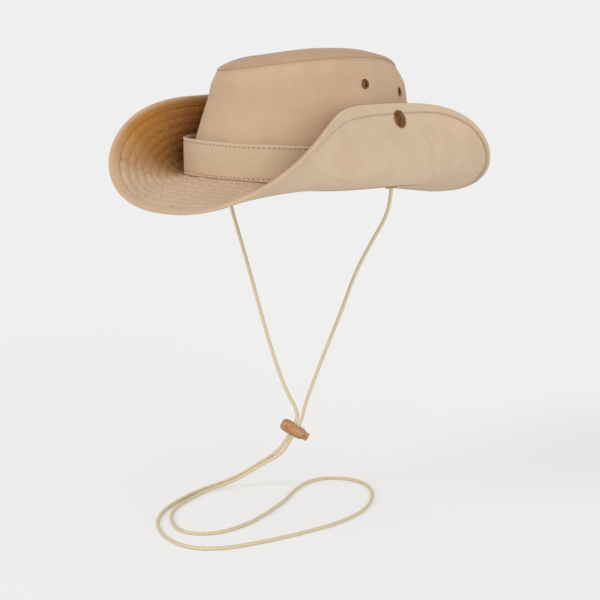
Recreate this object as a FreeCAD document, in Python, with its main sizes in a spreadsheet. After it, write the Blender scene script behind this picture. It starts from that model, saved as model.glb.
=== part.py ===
import FreeCAD, Part
import math
import os
import Sketcher

# Boonie hat. Origin at the centre of the head opening, where the crown meets the brim.
# +Z is up, -Y is the front and +X is the wearer's left. Lengths are in millimetres.
# Angles around the hat (turn) run from the front, through the wearer's left, to the back.

Vector = FreeCAD.Vector

DIMENSIONS = {
    # Head opening and crown.
    "opening_length": 200.0,
    "opening_width": 168.0,
    "tip_length": 162.0,
    "tip_width": 130.0,
    "tip_set_back": 4.0,
    "crown_height": 83.5,
    "tip_front_rise": 7.0,
    "tip_left_rise": 8.0,
    "tip_side_rise": 4.0,
    "tip_dome": 11.0,
    "tip_fullness": 2.6,
    "wall_bow": 1.3,
    "crown_cloth": 1.2,
    "seam_allowance": 2.0,
    "seam_slit": 0.3,
    "seam_ease": 1.3,
    "layer_gap": 0.2,
    # Bands inside and outside the crown.
    "band_height": 33.0,
    "band_cloth": 1.4,
    "band_flare": 1.2,
    "band_foot_gap": 0.7,
    "sweatband_height": 31.0,
    "sweatband_cloth": 0.8,
    "tape_width": 6.0,
    "tape_cloth": 0.6,
    "tape_set_down": 1.0,
    # Brim: cut width, where the sides turn up, and how far.
    "brim_width": 66.7,
    "brim_cloth": 0.7,
    "interlining": 0.9,
    "interlining_inset": 2.0,
    "bend_set_in": 18.2,
    "bend_taper": 25.0,
    "bend_length": 54.6,
    "bend_turn": 110.0,
    "bend_reach": 125.0,
    "bend_falloff": 2.6,
    "bend_shift": 9.0,
    "seam_front_rise": 5.0,
    "droop_front": 13.6,
    "droop_back": 10.6,
    "curl_front": 2.9,
    "curl_back": 2.2,
    "flap_line": 12.0,
    "flap_slit": 0.5,
    # Eyelets, two on each side of the crown.
    "eyelet_spacing": 46.0,
    "eyelet_shift": 3.0,
    "eyelet_height": 71.0,
    "eyelet_front_rise": 3.0,
    "eyelet_left_rise": 3.6,
    "eyelet_radius": 3.9,
    "eyelet_bore": 2.1,
    "eyelet_wall": 0.5,
    "eyelet_flange": 0.6,
    "washer_thick": 0.5,
    "fit_gap": 0.15,
    "seat_gap": 0.25,
    # Snap fasteners that hold the sides of the brim up.
    "snap_run": 54.0,
    "cap_radius": 7.0,
    "cap_rise": 2.4,
    "cap_rim": 0.8,
    "cap_shoulder_radius": 5.25,
    "cap_shoulder_rise": 1.76,
    "cap_crest_radius": 2.8,
    "cap_crest_rise": 2.27,
    "rivet_radius": 1.5,
    "socket_radius": 4.6,
    "socket_bore": 2.6,
    "socket_height": 3.4,
    "socket_floor": 0.8,
    "stud_radius": 4.2,
    "stud_flange": 0.8,
    "stud_neck": 1.8,
    "stud_ball": 2.1,
    "stud_tip": 0.5,
    "stud_ball_end": 1.3,
    "stud_neck_end": 1.8,
    "stud_gap": 0.65,
    "plate_thick": 0.7,
    # Chin cord, its tabs and its toggle.
    "cord_diameter": 2.8,
    "strand_pitch": 2.9,
    "tab_thick": 3.2,
    "tab_width": 12.0,
    "tab_height": 10.0,
    "tab_below": 0.0,
    "tab_gap": 1.9,
    "cord_drop": 7.0,
    "tab_set_back": 4.0,
    "toggle_length": 24.0,
    "toggle_radius": 5.0,
    "toggle_neck_length": 4.0,
    "toggle_neck_radius": 3.3,
    "toggle_bore": 3.15,
    "toggle_bore_place": 11.5,
    "toggle_end_radius": 3.1,
    "toggle_shoulder_radius": 4.5,
    "toggle_shoulder_place": 1.25,
    "toggle_round": 3.75,
    "toggle_taper": 4.0,
    "toggle_taper_radius": 4.3,
    "toggle_taper_end": 0.5,
    "toggle_mouth": 9.0,
}

# Chin cord, chosen by hand: from each tab down to the toggle, then one loop on the ground.
TOGGLE_CENTRE = Vector(4.0, -8.0, -195.5)
TOGGLE_TURN = 35.6
TOGGLE_DIP = 29.0
LEFT_LEG = [
    (75.5, 3.0, -22.0),
    (65.0, 1.5, -40.0),
    (51.5, -1.0, -67.0),
    (41.5, -2.5, -97.0),
    (29.0, -4.5, -129.0),
    (19.0, -5.5, -156.0),
    (12.0, -5.5, -174.0),
]
RIGHT_LEG = [
    (-74.0, 3.0, -24.0),
    (-62.0, 1.0, -49.0),
    (-46.5, -1.5, -82.0),
    (-31.0, -3.5, -118.0),
    (-16.5, -5.0, -149.0),
    (-5.5, -5.5, -168.0),
    (2.5, -5.0, -178.0),
]
LOOP = [
    (-7.0, -11.0, -216.0),
    (-22.0, -14.0, -227.5),
    (-38.0, -29.0, -238.5),
    (-47.0, -60.0, -243.0),
    (-40.0, -95.0, -243.0),
    (-29.0, -128.0, -243.0),
    (-10.0, -157.0, -243.0),
    (17.0, -179.0, -243.0),
    (46.0, -187.0, -243.0),
    (65.0, -170.0, -243.0),
    (75.0, -138.0, -243.0),
    (83.0, -102.0, -243.0),
    (88.0, -62.0, -243.0),
    (83.0, -22.0, -243.0),
    (67.0, 13.0, -243.0),
    (45.0, 41.0, -243.0),
    (20.0, 49.0, -243.0),
    (0.0, 32.0, -243.0),
    (5.0, -2.0, -243.0),
    (21.0, -40.0, -243.0),
    (33.0, -80.0, -243.0),
    (40.0, -116.0, -243.0),
    (37.0, -149.0, -243.0),
    (17.0, -161.0, -243.0),
    (-7.0, -144.0, -243.0),
    (-25.0, -121.0, -243.0),
    (-35.0, -92.0, -243.0),
    (-42.0, -60.5, -243.0),
    (-34.5, -32.0, -239.0),
    (-20.0, -17.5, -228.5),
    (-3.6, -11.5, -218.5),
]

# How far a cutter reaches past each face of the cloth that it makes a hole in.
CUTTER_REACH = 6.0

doc = FreeCAD.newDocument("boonie_hat")
sheet = doc.addObject("Spreadsheet::Sheet", "Dimensions")
for row, (alias, number) in enumerate(DIMENSIONS.items(), start=1):
    sheet.set("A%d" % row, alias)
    sheet.set("B%d" % row, str(number))
    sheet.setAlias("B%d" % row, alias)
doc.recompute()


def size(alias):
    return float(sheet.get(alias))


def rounded(vector):
    return [round(number, 4) for number in vector]


def fixed_shape(name, shape):
    """A sub-part whose shape is made from formulas."""
    piece = doc.addObject("Part::Feature", name)
    piece.Label = name
    piece.Shape = shape
    piece.Placement = FreeCAD.Placement()
    return piece


# ---- Outline of the hat -------------------------------------------------------------------


def opening_point(turn, outward):
    """A point on the seam of crown and brim, moved outwards in its own plane."""
    half_width = size("opening_width") / 2
    half_length = size("opening_length") / 2
    normal = Vector(math.sin(turn) / half_width, -math.cos(turn) / half_length, 0)
    normal.normalize()
    return Vector(half_width * math.sin(turn), -half_length * math.cos(turn), 0) + normal * outward


def tip_height(turn):
    """Height of the seam between the crown's side and its tip."""
    lift = size("tip_front_rise") * math.cos(turn) + size("tip_left_rise") * math.sin(turn)
    return size("crown_height") + lift - size("tip_side_rise") * math.cos(2 * turn)


def wall_point(turn, height, outward=0.0):
    """A point on the outside of the crown's side, moved outwards level."""
    share = (max(height, 0.0) / tip_height(turn)) ** size("wall_bow")
    half_width = size("opening_width") / 2 * (1 - share) + size("tip_width") / 2 * share
    half_length = size("opening_length") / 2 * (1 - share) + size("tip_length") / 2 * share
    normal = Vector(math.sin(turn) / half_width, -math.cos(turn) / half_length, 0)
    normal.normalize()
    x = half_width * math.sin(turn)
    y = -half_length * math.cos(turn) + size("tip_set_back") * share
    return Vector(x, y, height) + normal * outward


def wall_normal(turn, height):
    """Outward direction of the crown's side at a point."""
    around = wall_point(turn + 0.01, height) - wall_point(turn - 0.01, height)
    upward = wall_point(turn, height + 0.5) - wall_point(turn, height - 0.5)
    normal = around.cross(upward)
    normal.normalize()
    return normal


def bend_at(length, share):
    """Turn of the brim a certain way past its bend line."""
    way = min(share * length / size("bend_length"), 1.0)
    return way * way * (3 - 2 * way)


def brim_point(turn, run):
    """A point in the middle of the brim's thickness, run millimetres out from the seam."""
    flat = opening_point(turn, run)
    front = max(math.cos(turn), 0.0) ** 2
    back = max(-math.cos(turn), 0.0) ** 2
    way_out = run / size("brim_width")
    droop = math.tan(math.radians(size("droop_front"))) * front
    droop += math.tan(math.radians(size("droop_back"))) * back
    curl = size("curl_front") * front + size("curl_back") * back
    height = size("seam_front_rise") * front - run * droop - curl * way_out * way_out
    way_back = 2 * flat.y / size("opening_length")
    start = size("opening_width") / 2 - size("bend_set_in") - size("bend_taper") * way_back ** 2
    length = abs(flat.x) - start
    if length <= 0:
        return Vector(flat.x, flat.y, height)
    along = abs((flat.y + size("bend_shift")) / size("bend_reach"))
    most = math.radians(size("bend_turn")) * math.exp(-(along ** size("bend_falloff")))
    steps = 24
    across = 0.0
    for step in range(steps):
        angle = most * bend_at(length, (step + 0.5) / steps)
        across += math.cos(angle) * length / steps
        height += math.sin(angle) * length / steps
    return Vector(math.copysign(start + across, flat.x), flat.y, height)


def brim_normal(turn, run):
    """Direction out of the brim's upper face, which faces the crown where the brim is up."""
    around = brim_point(turn + 0.01, run) - brim_point(turn - 0.01, run)
    outward = brim_point(turn, run + 0.3) - brim_point(turn, run - 0.3)
    normal = outward.cross(around)
    normal.normalize()
    return normal


# ---- Cloth sheets --------------------------------------------------------------------------


def surface_through(grid):
    surface = Part.BSplineSurface()
    surface.interpolate(grid)
    return surface


def solid_between(lower_grid, upper_grid):
    """Closed solid between two sheets of points that have the same rows."""
    lower = surface_through(lower_grid)
    upper = surface_through(upper_grid)
    u0, u1, v0, v1 = lower.bounds()
    p0, p1, q0, q1 = upper.bounds()
    faces = [lower.toShape(), upper.toShape()]
    faces.append(Part.makeRuledSurface(lower.uIso(u0).toShape(), upper.uIso(p0).toShape()))
    faces.append(Part.makeRuledSurface(lower.uIso(u1).toShape(), upper.uIso(p1).toShape()))
    faces.append(Part.makeRuledSurface(lower.vIso(v0).toShape(), upper.vIso(q0).toShape()))
    faces.append(Part.makeRuledSurface(lower.vIso(v1).toShape(), upper.vIso(q1).toShape()))
    shell = Part.makeShell(faces)
    shell.sewShape()
    solid = Part.makeSolid(shell)
    if solid.Volume < 0:
        solid.reverse()
    return solid


def turns(count, radius):
    """Angles once round the hat, which stop short of the seam at the centre of the back."""
    slit = size("seam_slit") / 2 / radius
    span = 2 * (math.pi - slit)
    return [-math.pi + slit + span * step / count for step in range(count + 1)]


def crown_sheet(bottom, top, inner, outer, rows):
    """Cloth that follows the crown's side; bottom and top give its edges' heights at a turn."""
    around = turns(72, size("opening_length") / 2)

    def grid(outward):
        lines = []
        for turn in around:
            low = bottom(turn)
            high = top(turn)
            heights = [low + (high - low) * row / rows for row in range(rows + 1)]
            lines.append([wall_point(turn, height, outward) for height in heights])
        return lines

    return solid_between(grid(inner), grid(outer))


def brim_start(turn):
    """Where the brim starts: at the seam, and a little further out where its sides tip up."""
    return size("seam_slit") + size("seam_ease") * math.sin(turn) ** 2


def seam_foot(turn):
    """Foot of the cloth that is sewn inside the brim, a seam allowance below the brim's edge."""
    return brim_point(turn, brim_start(turn)).z - size("seam_allowance")


def brim_face(turn, run, offset):
    return brim_point(turn, run) + brim_normal(turn, run) * offset


def brim_layer(inset, low, high):
    """One layer of the brim between two distances from the middle of its thickness."""
    rows = 14
    around = turns(96, size("opening_length") / 2 + size("brim_width"))

    def grid(offset):
        lines = []
        for turn in around:
            start = brim_start(turn) + inset
            step = (size("brim_width") - inset - start) / rows
            lines.append([brim_face(turn, start + step * row, offset) for row in range(rows + 1)])
        return lines

    return solid_between(grid(low), grid(high))


# ---- Crown ---------------------------------------------------------------------------------


def crown_side_holes():
    """Cutters for the eyelets and snap rivets in the crown's side."""
    cutters = []
    radius = size("eyelet_bore") + size("eyelet_wall") + size("fit_gap")
    for place in eyelet_places():
        axis = wall_normal(*place)
        start = wall_point(*place) - axis * CUTTER_REACH
        cutters.append(Part.makeCylinder(radius, 2 * CUTTER_REACH, start, axis))
    radius = size("rivet_radius") + size("fit_gap")
    for side in (1, -1):
        axis, seat, reach = snap_line(side)
        start = seat - axis * (reach + CUTTER_REACH)
        cutters.append(Part.makeCylinder(radius, 2 * CUTTER_REACH, start, axis))
    return cutters


def build_crown_side():
    sheet_solid = crown_sheet(seam_foot, tip_height, -size("crown_cloth"), 0.0, 12)
    for cutter in crown_side_holes():
        sheet_solid = sheet_solid.cut(cutter)
    fixed_shape("crown_side_panel", sheet_solid)


def build_crown_tip():
    """Domed oval top: a thick sheet over a rectangle, trimmed to the oval of the seam."""
    half_width = size("tip_width") / 2
    half_length = size("tip_length") / 2
    steps = 24
    reach = 1.02

    def grid(lift):
        lines = []
        for column in range(steps + 1):
            side = reach * (2 * column / steps - 1)
            line = []
            for row in range(steps + 1):
                back = reach * (2 * row / steps - 1)
                ring = side * side + back * back
                level = size("crown_height") + size("tip_dome") * (1 - ring ** size("tip_fullness"))
                level += -size("tip_front_rise") * back + size("tip_left_rise") * side
                level -= size("tip_side_rise") * (back * back - side * side)
                y = half_length * back + size("tip_set_back")
                line.append(Vector(half_width * side, y, level + lift))
            lines.append(line)
        return lines

    gap = size("layer_gap")
    slab = solid_between(grid(gap), grid(gap + size("crown_cloth")))
    centre = Vector(0, size("tip_set_back"), 0)
    oval = Part.Ellipse(centre + Vector(0, half_length, 0), centre + Vector(half_width, 0, 0), centre)
    face = Part.Face(Part.Wire(oval.toShape()))
    prism = face.extrude(Vector(0, 0, 2 * size("crown_height")))
    fixed_shape("crown_tip", slab.common(prism))


def build_crown_bands():
    cloth = size("crown_cloth")
    gap = size("layer_gap")

    def tape_bottom(turn):
        return tip_height(turn) - size("tape_width") - size("tape_set_down")

    def tape_top(turn):
        return tip_height(turn) - size("tape_set_down")

    outer = -cloth - gap
    tape = crown_sheet(tape_bottom, tape_top, outer - size("tape_cloth"), outer, 4)
    fixed_shape("crown_seam_tape", tape)

    def sweatband_top(turn):
        return size("sweatband_height")

    band = crown_sheet(seam_foot, sweatband_top, outer - size("sweatband_cloth"), outer, 6)
    fixed_shape("sweatband", band)


def build_headband():
    """Outer band, sewn down along its lower edge and standing off the crown at its top."""
    rows = 4
    around = turns(72, size("opening_length") / 2)
    half = size("interlining") / 2 + size("layer_gap") + size("brim_cloth")
    edge = size("layer_gap") + size("band_cloth")

    def grid(outward):
        lines = []
        for turn in around:
            foot = brim_face(turn, edge + half, half).z + size("band_foot_gap")
            line = []
            for row in range(rows + 1):
                share = row / rows
                point = opening_point(turn, outward + size("band_flare") * share)
                line.append(point + Vector(0, 0, foot + (size("band_height") - foot) * share))
            lines.append(line)
        return lines

    inner = size("layer_gap")
    band = solid_between(grid(inner), grid(inner + size("band_cloth")))
    fixed_shape("headband", band)


# ---- Brim ----------------------------------------------------------------------------------


def snap_line(side):
    """Axis of one side's snap: outward direction, point inside the brim, way to the crown."""
    turn = side * math.pi / 2
    seat = brim_point(turn, size("snap_run"))
    axis = brim_normal(turn, size("snap_run")) * -1
    near = 0.0
    far = 40.0
    while far - near > 0.001:
        middle = (near + far) / 2
        probe = seat - axis * middle
        if abs(probe.x) > abs(wall_point(turn, probe.z).x):
            near = middle
        else:
            far = middle
    return axis, seat, near


def build_brim():
    cloth = size("brim_cloth")
    middle = size("interlining") / 2
    gap = size("layer_gap")
    layers = {
        "upper_cloth": brim_layer(0.0, middle + gap, middle + gap + cloth),
        "interlining": brim_layer(size("interlining_inset"), -middle, middle),
        "lower_cloth": brim_layer(0.0, -middle - gap - cloth, -middle - gap),
    }
    reach = size("opening_length")
    cut = size("flap_line")
    slit = size("flap_slit") / 2
    corner = Vector(-reach, -reach, -reach)
    below = Part.makeBox(2 * reach, 2 * reach, reach + cut - slit, corner)
    for layer, solid in layers.items():
        fixed_shape("brim_" + layer, solid.common(below))
        for side, name in ((1, "left"), (-1, "right")):
            corner = Vector(0 if side > 0 else -reach, -reach, cut + slit)
            above = Part.makeBox(reach, 2 * reach, reach, corner)
            axis, seat, way = snap_line(side)
            start = seat - axis * CUTTER_REACH
            radius = size("rivet_radius") + size("fit_gap")
            hole = Part.makeCylinder(radius, 2 * CUTTER_REACH, start, axis)
            fixed_shape("%s_flap_%s" % (name, layer), solid.common(above).cut(hole))


# ---- Turned and drilled pieces ---------------------------------------------------------------


def turned_body(name, profile):
    """Body turned about its own Z axis; the profile's corners are pairs of expressions."""
    body = doc.addObject("PartDesign::Body", name)
    body.Label = name
    plane = [f for f in body.Origin.OriginFeatures if f.Role == "XZ_Plane"][0]
    sketch = body.newObject("Sketcher::SketchObject", name + "_profile")
    sketch.AttachmentSupport = [(plane, "")]
    sketch.MapMode = "FlatFace"
    corners = [(evaluate(radius), evaluate(height)) for radius, height in profile]
    count = len(corners)
    for index in range(count):
        start = Vector(*corners[index], 0)
        end = Vector(*corners[(index + 1) % count], 0)
        sketch.addGeometry(Part.LineSegment(start, end), False)
    for index in range(count):
        sketch.addConstraint(Sketcher.Constraint("Coincident", index, 2, (index + 1) % count, 1))
    for index, (radius, height) in enumerate(profile):
        place_corner(sketch, index, "DistanceX", radius, -2)
        place_corner(sketch, index, "DistanceY", height, -1)
    turning = body.newObject("PartDesign::Revolution", name + "_turning")
    turning.Profile = sketch
    turning.ReferenceAxis = (sketch, ["V_Axis"])
    turning.Angle = 360
    doc.recompute()
    return body


def evaluate(expression):
    """Number that an expression of sheet names stands for."""
    return float(sheet.evalExpression(expression))


def place_corner(sketch, index, kind, expression, axis):
    if expression == "0":
        sketch.addConstraint(Sketcher.Constraint("PointOnObject", index, 1, axis))
        return
    number = evaluate(expression)
    place = sketch.addConstraint(Sketcher.Constraint(kind, -1, 1, index, 1, number))
    bound = expression
    for alias in sorted(DIMENSIONS, key=len, reverse=True):
        bound = bound.replace(alias, "<<%s>>" % alias.upper())
    for alias in DIMENSIONS:
        bound = bound.replace("<<%s>>" % alias.upper(), "Dimensions." + alias)
    sketch.setExpression("Constraints[%d]" % place, bound)


def stand_on(piece, point, axis, about=None):
    """Put a piece's origin at a point, with its Z axis along a direction."""
    if about is None:
        turn = FreeCAD.Rotation(Vector(0, 0, 1), axis)
    else:
        turn = FreeCAD.Rotation(about.cross(axis), about, axis, "ZYX")
    piece.Placement = FreeCAD.Placement(point, turn)


def ring_piece(name, outer, inner, height):
    """Flat ring: a cylinder cut by a cylinder, sizes given as sheet names."""
    disc = doc.addObject("Part::Cylinder", name + "_disc")
    disc.setExpression("Radius", "Dimensions." + outer)
    disc.setExpression("Height", "Dimensions." + height)
    bore = doc.addObject("Part::Cylinder", name + "_bore")
    bore.setExpression("Radius", inner)
    bore.setExpression("Height", "Dimensions." + height)
    ring = doc.addObject("Part::Cut", name)
    ring.Label = name
    ring.Base = disc
    ring.Tool = bore
    doc.recompute()
    return ring


# ---- Eyelets ---------------------------------------------------------------------------------


def eyelet_places():
    """Turn and height of each eyelet: left front, left rear, right front, right rear."""
    places = []
    for side in (1, -1):
        for way in (-1, 1):
            height = size("eyelet_height") + side * size("eyelet_left_rise")
            height -= way * size("eyelet_front_rise")
            back = size("eyelet_shift") + way * size("eyelet_spacing") / 2
            places.append((side_turn(side, back, height), height))
    return places


def side_turn(side, back, height):
    """Turn at which one side of the crown's wall passes a certain way back."""
    turn = side * math.pi / 2
    for _ in range(4):
        share = (height / tip_height(turn)) ** size("wall_bow")
        half_length = size("opening_length") / 2 * (1 - share) + size("tip_length") / 2 * share
        turn = side * math.acos((size("tip_set_back") * share - back) / half_length)
    return turn


def build_eyelets():
    names = ("left_front", "left_rear", "right_front", "right_rear")
    wall = "(eyelet_bore + eyelet_wall)"
    shank = "(washer_thick + 2 * seat_gap + crown_cloth)"
    profile = [
        ("eyelet_bore", "0"),
        (wall, "0"),
        (wall, shank),
        ("eyelet_radius", shank),
        ("eyelet_radius", shank + " + eyelet_flange"),
        ("eyelet_bore", shank + " + eyelet_flange"),
    ]
    inward = size("washer_thick") + size("seat_gap") + size("crown_cloth")
    for name, place in zip(names, eyelet_places()):
        axis = wall_normal(*place)
        foot = wall_point(*place) - axis * inward
        stand_on(turned_body("eyelet_" + name, profile), foot, axis)
        print("eyelet %s foot %s axis %s" % (name, rounded(foot), rounded(axis)))
        bore = "Dimensions.eyelet_bore + Dimensions.eyelet_wall + Dimensions.fit_gap"
        washer = ring_piece("eyelet_washer_" + name, "eyelet_radius", bore, "washer_thick")
        stand_on(washer, foot, axis)


# ---- Snap fasteners ----------------------------------------------------------------------------


def build_snaps():
    for side, name in ((1, "left"), (-1, "right")):
        axis, seat, reach = snap_line(side)
        half = size("interlining") / 2 + size("brim_cloth") + size("layer_gap")
        stack = "(interlining + 2 * brim_cloth + 2 * layer_gap + 2 * seat_gap + socket_floor)"
        cap = [
            ("0", "0"),
            ("rivet_radius", "0"),
            ("rivet_radius", stack),
            ("cap_radius", stack),
            ("cap_radius", stack + " + cap_rim"),
            ("cap_shoulder_radius", stack + " + cap_shoulder_rise"),
            ("cap_crest_radius", stack + " + cap_crest_rise"),
            ("0", stack + " + cap_rise"),
        ]
        inner_face = seat - axis * (half + size("seat_gap"))
        piece = turned_body("snap_cap_" + name, cap)
        stand_on(piece, inner_face - axis * size("socket_floor"), axis)
        socket = [
            ("socket_bore", "0"),
            ("socket_radius", "0"),
            ("socket_radius", "socket_height"),
            ("rivet_radius + fit_gap", "socket_height"),
            ("rivet_radius + fit_gap", "socket_height - socket_floor"),
            ("socket_bore", "socket_height - socket_floor"),
        ]
        piece = turned_body("snap_socket_" + name, socket)
        mouth = inner_face - axis * size("socket_height")
        stand_on(piece, mouth, axis)
        build_snap_stud(name, axis, mouth, seat - axis * reach)


def build_snap_stud(name, axis, mouth, crown_face):
    """Stud on the crown, as long as the way from the crown into the socket."""
    depth = size("socket_height") - size("socket_floor")
    shank = size("plate_thick") + size("crown_cloth") + 2 * size("stud_gap")
    foot = crown_face - axis * (shank - size("stud_gap"))
    length = (mouth - foot).dot(axis) + depth - size("stud_gap")
    alias = "stud_length_" + name
    row = len(DIMENSIONS) + 1
    sheet.set("A%d" % row, alias)
    sheet.set("B%d" % row, "%.4f" % length)
    sheet.setAlias("B%d" % row, alias)
    DIMENSIONS[alias] = length
    doc.recompute()
    base = "(plate_thick + crown_cloth + 2 * stud_gap)"
    stud = [
        ("0", "0"),
        ("rivet_radius", "0"),
        ("rivet_radius", base),
        ("stud_radius", base),
        ("stud_radius", base + " + stud_flange"),
        ("stud_neck", base + " + stud_flange"),
        ("stud_neck", alias + " - stud_neck_end"),
        ("stud_ball", alias + " - stud_ball_end"),
        ("stud_ball", alias + " - stud_tip"),
        ("stud_neck", alias),
        ("0", alias),
    ]
    stand_on(turned_body("snap_stud_" + name, stud), foot, axis)
    bore = "Dimensions.rivet_radius + Dimensions.fit_gap"
    plate = ring_piece("snap_back_plate_" + name, "stud_radius", bore, "plate_thick")
    stand_on(plate, foot, axis)


# ---- Chin cord -----------------------------------------------------------------------------------


def toggle_axes():
    """Direction of the toggle's length and of its cord hole."""
    turn = math.radians(TOGGLE_TURN)
    dip = math.radians(TOGGLE_DIP)
    level = Vector(math.cos(turn), math.sin(turn), 0)
    along = level * math.cos(dip) - Vector(0, 0, math.sin(dip))
    hole = level * math.sin(dip) + Vector(0, 0, math.cos(dip))
    return along, hole


def build_toggle():
    profile = [
        ("0", "0"),
        ("toggle_end_radius", "0"),
        ("toggle_shoulder_radius", "toggle_shoulder_place"),
        ("toggle_radius", "toggle_round"),
        ("toggle_radius", "toggle_length - toggle_neck_length - toggle_taper"),
        ("toggle_taper_radius", "toggle_length - toggle_neck_length - toggle_taper_end"),
        ("toggle_neck_radius", "toggle_length - toggle_neck_length"),
        ("toggle_neck_radius", "toggle_length"),
        ("0", "toggle_length"),
    ]
    body = turned_body("toggle", profile)
    plane = [f for f in body.Origin.OriginFeatures if f.Role == "XZ_Plane"][0]
    sketch = body.newObject("Sketcher::SketchObject", "toggle_hole_outline")
    sketch.AttachmentSupport = [(plane, "")]
    sketch.MapMode = "FlatFace"
    circle = Part.Circle(Vector(0, size("toggle_bore_place"), 0), Vector(0, 0, 1), size("toggle_bore"))
    sketch.addGeometry(circle, False)
    sketch.addConstraint(Sketcher.Constraint("PointOnObject", 0, 3, -2))
    place = sketch.addConstraint(
        Sketcher.Constraint("DistanceY", -1, 1, 0, 3, size("toggle_bore_place"))
    )
    sketch.setExpression("Constraints[%d]" % place, "Dimensions.toggle_bore_place")
    bore = sketch.addConstraint(Sketcher.Constraint("Radius", 0, size("toggle_bore")))
    sketch.setExpression("Constraints[%d]" % bore, "Dimensions.toggle_bore")
    hole = body.newObject("PartDesign::Pocket", "toggle_hole")
    hole.Profile = sketch
    hole.Type = 1
    hole.Midplane = True
    doc.recompute()
    along, across = toggle_axes()
    foot = TOGGLE_CENTRE - along * size("toggle_bore_place")
    stand_on(body, foot, along, across)


def arc_between(before, corner, after, name):
    """Tangent arc round a corner of the cord's route, as large as its two runs allow."""
    back = before - corner
    ahead = after - corner
    shorter = min(back.Length, ahead.Length)
    reach = 0.45 * shorter
    back.normalize()
    ahead.normalize()
    half_turn = (math.pi - back.getAngle(ahead)) / 2
    radius = reach / math.tan(half_turn)
    print("%s turn %.0f deg radius %.1f mm" % (name, math.degrees(2 * half_turn), radius))
    inward = back + ahead
    inward.normalize()
    sagitta = radius / math.cos(half_turn) - radius
    start = corner + back * reach
    end = corner + ahead * reach
    return start, Part.Arc(start, corner + inward * sagitta, end).toShape(), end


def cord_tube(name, points):
    """Round cord along straight runs joined by tangent arcs."""
    edges = []
    last = points[0]
    for before, corner, after in zip(points, points[1:], points[2:]):
        start, arc, end = arc_between(before, corner, after, name)
        edges.append(Part.LineSegment(last, start).toShape())
        edges.append(arc)
        last = end
    edges.append(Part.LineSegment(last, points[-1]).toShape())
    path = Part.Wire(edges)
    radius = size("cord_diameter") / 2
    circle = Part.Wire(Part.makeCircle(radius, points[0], points[1] - points[0]))
    tube = path.makePipeShell([circle], True, False)
    expected = math.pi * radius * radius * path.Length
    print("%s length %.1f mm, volume %.1f of %.1f" % (name, path.Length, tube.Volume, expected))
    fixed_shape(name, tube)


def tab_centre(side):
    """Middle of one of the tabs sewn inside the crown, from which the cord hangs."""
    layers = size("crown_cloth") + size("layer_gap") + size("sweatband_cloth")
    inward = layers + size("tab_gap") + size("tab_thick") / 2
    x = side * (size("opening_width") / 2 - inward)
    return Vector(x, size("tab_set_back"), -size("tab_below"))


def build_tabs():
    for side, name in ((1, "left"), (-1, "right")):
        tab = doc.addObject("Part::Box", "cord_tab_" + name)
        tab.Label = "cord_tab_" + name
        tab.setExpression("Length", "Dimensions.tab_thick")
        tab.setExpression("Width", "Dimensions.tab_width")
        tab.setExpression("Height", "Dimensions.tab_height")
        half = Vector(size("tab_thick") / 2, size("tab_width") / 2, 0)
        tab.Placement = FreeCAD.Placement(tab_centre(side) - half, FreeCAD.Rotation())


def build_cord():
    along, hole = toggle_axes()
    beside = along * (size("strand_pitch") / 2)
    mouth = hole * size("toggle_mouth")
    for side, name, route in ((1, "left", LEFT_LEG), (-1, "right", RIGHT_LEG)):
        points = [tab_centre(side), tab_centre(side) - Vector(0, 0, size("cord_drop"))]
        points += [Vector(*point) for point in route]
        points += [TOGGLE_CENTRE + mouth + beside * side, TOGGLE_CENTRE + beside * side]
        cord_tube("chin_cord_" + name, points)
    points = [TOGGLE_CENTRE - beside, TOGGLE_CENTRE - mouth - beside]
    points += [Vector(*point) for point in LOOP]
    points += [TOGGLE_CENTRE - mouth + beside, TOGGLE_CENTRE + beside]
    cord_tube("chin_cord_loop", points)


# ---- Assembly --------------------------------------------------------------------------------------


def sub_parts():
    """Objects that are pieces of the hat, not the features or tools that make them."""
    inner = set()
    for item in doc.Objects:
        if item.TypeId == "Part::Cut":
            inner.update((item.Base.Name, item.Tool.Name))
    kinds = ("PartDesign::Body", "Part::Feature", "Part::Cut", "Part::Box")
    return [item for item in doc.Objects if item.TypeId in kinds and item.Name not in inner]


build_crown_side()
build_crown_tip()
build_crown_bands()
build_headband()
build_brim()
build_eyelets()
build_snaps()
build_tabs()
build_toggle()
build_cord()
doc.recompute()

for item in doc.Objects:
    if "Invalid" in item.State or "Error" in item.State:
        raise RuntimeError("%s failed: %s" % (item.Name, item.State))

os.makedirs("parts", exist_ok=True)
for piece in sub_parts():
    shape = piece.Shape
    if shape.isNull() or not shape.isValid() or not shape.Solids:
        raise RuntimeError("%s has no valid solid" % piece.Label)
    print("%-28s solids %d volume %.1f" % (piece.Label, len(shape.Solids), shape.Volume))
for piece in sub_parts():
    piece.Shape.exportStep("parts/%s.step" % piece.Label)
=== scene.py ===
import math

import bpy
import numpy as np
from mathutils import Matrix, Vector, noise


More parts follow.
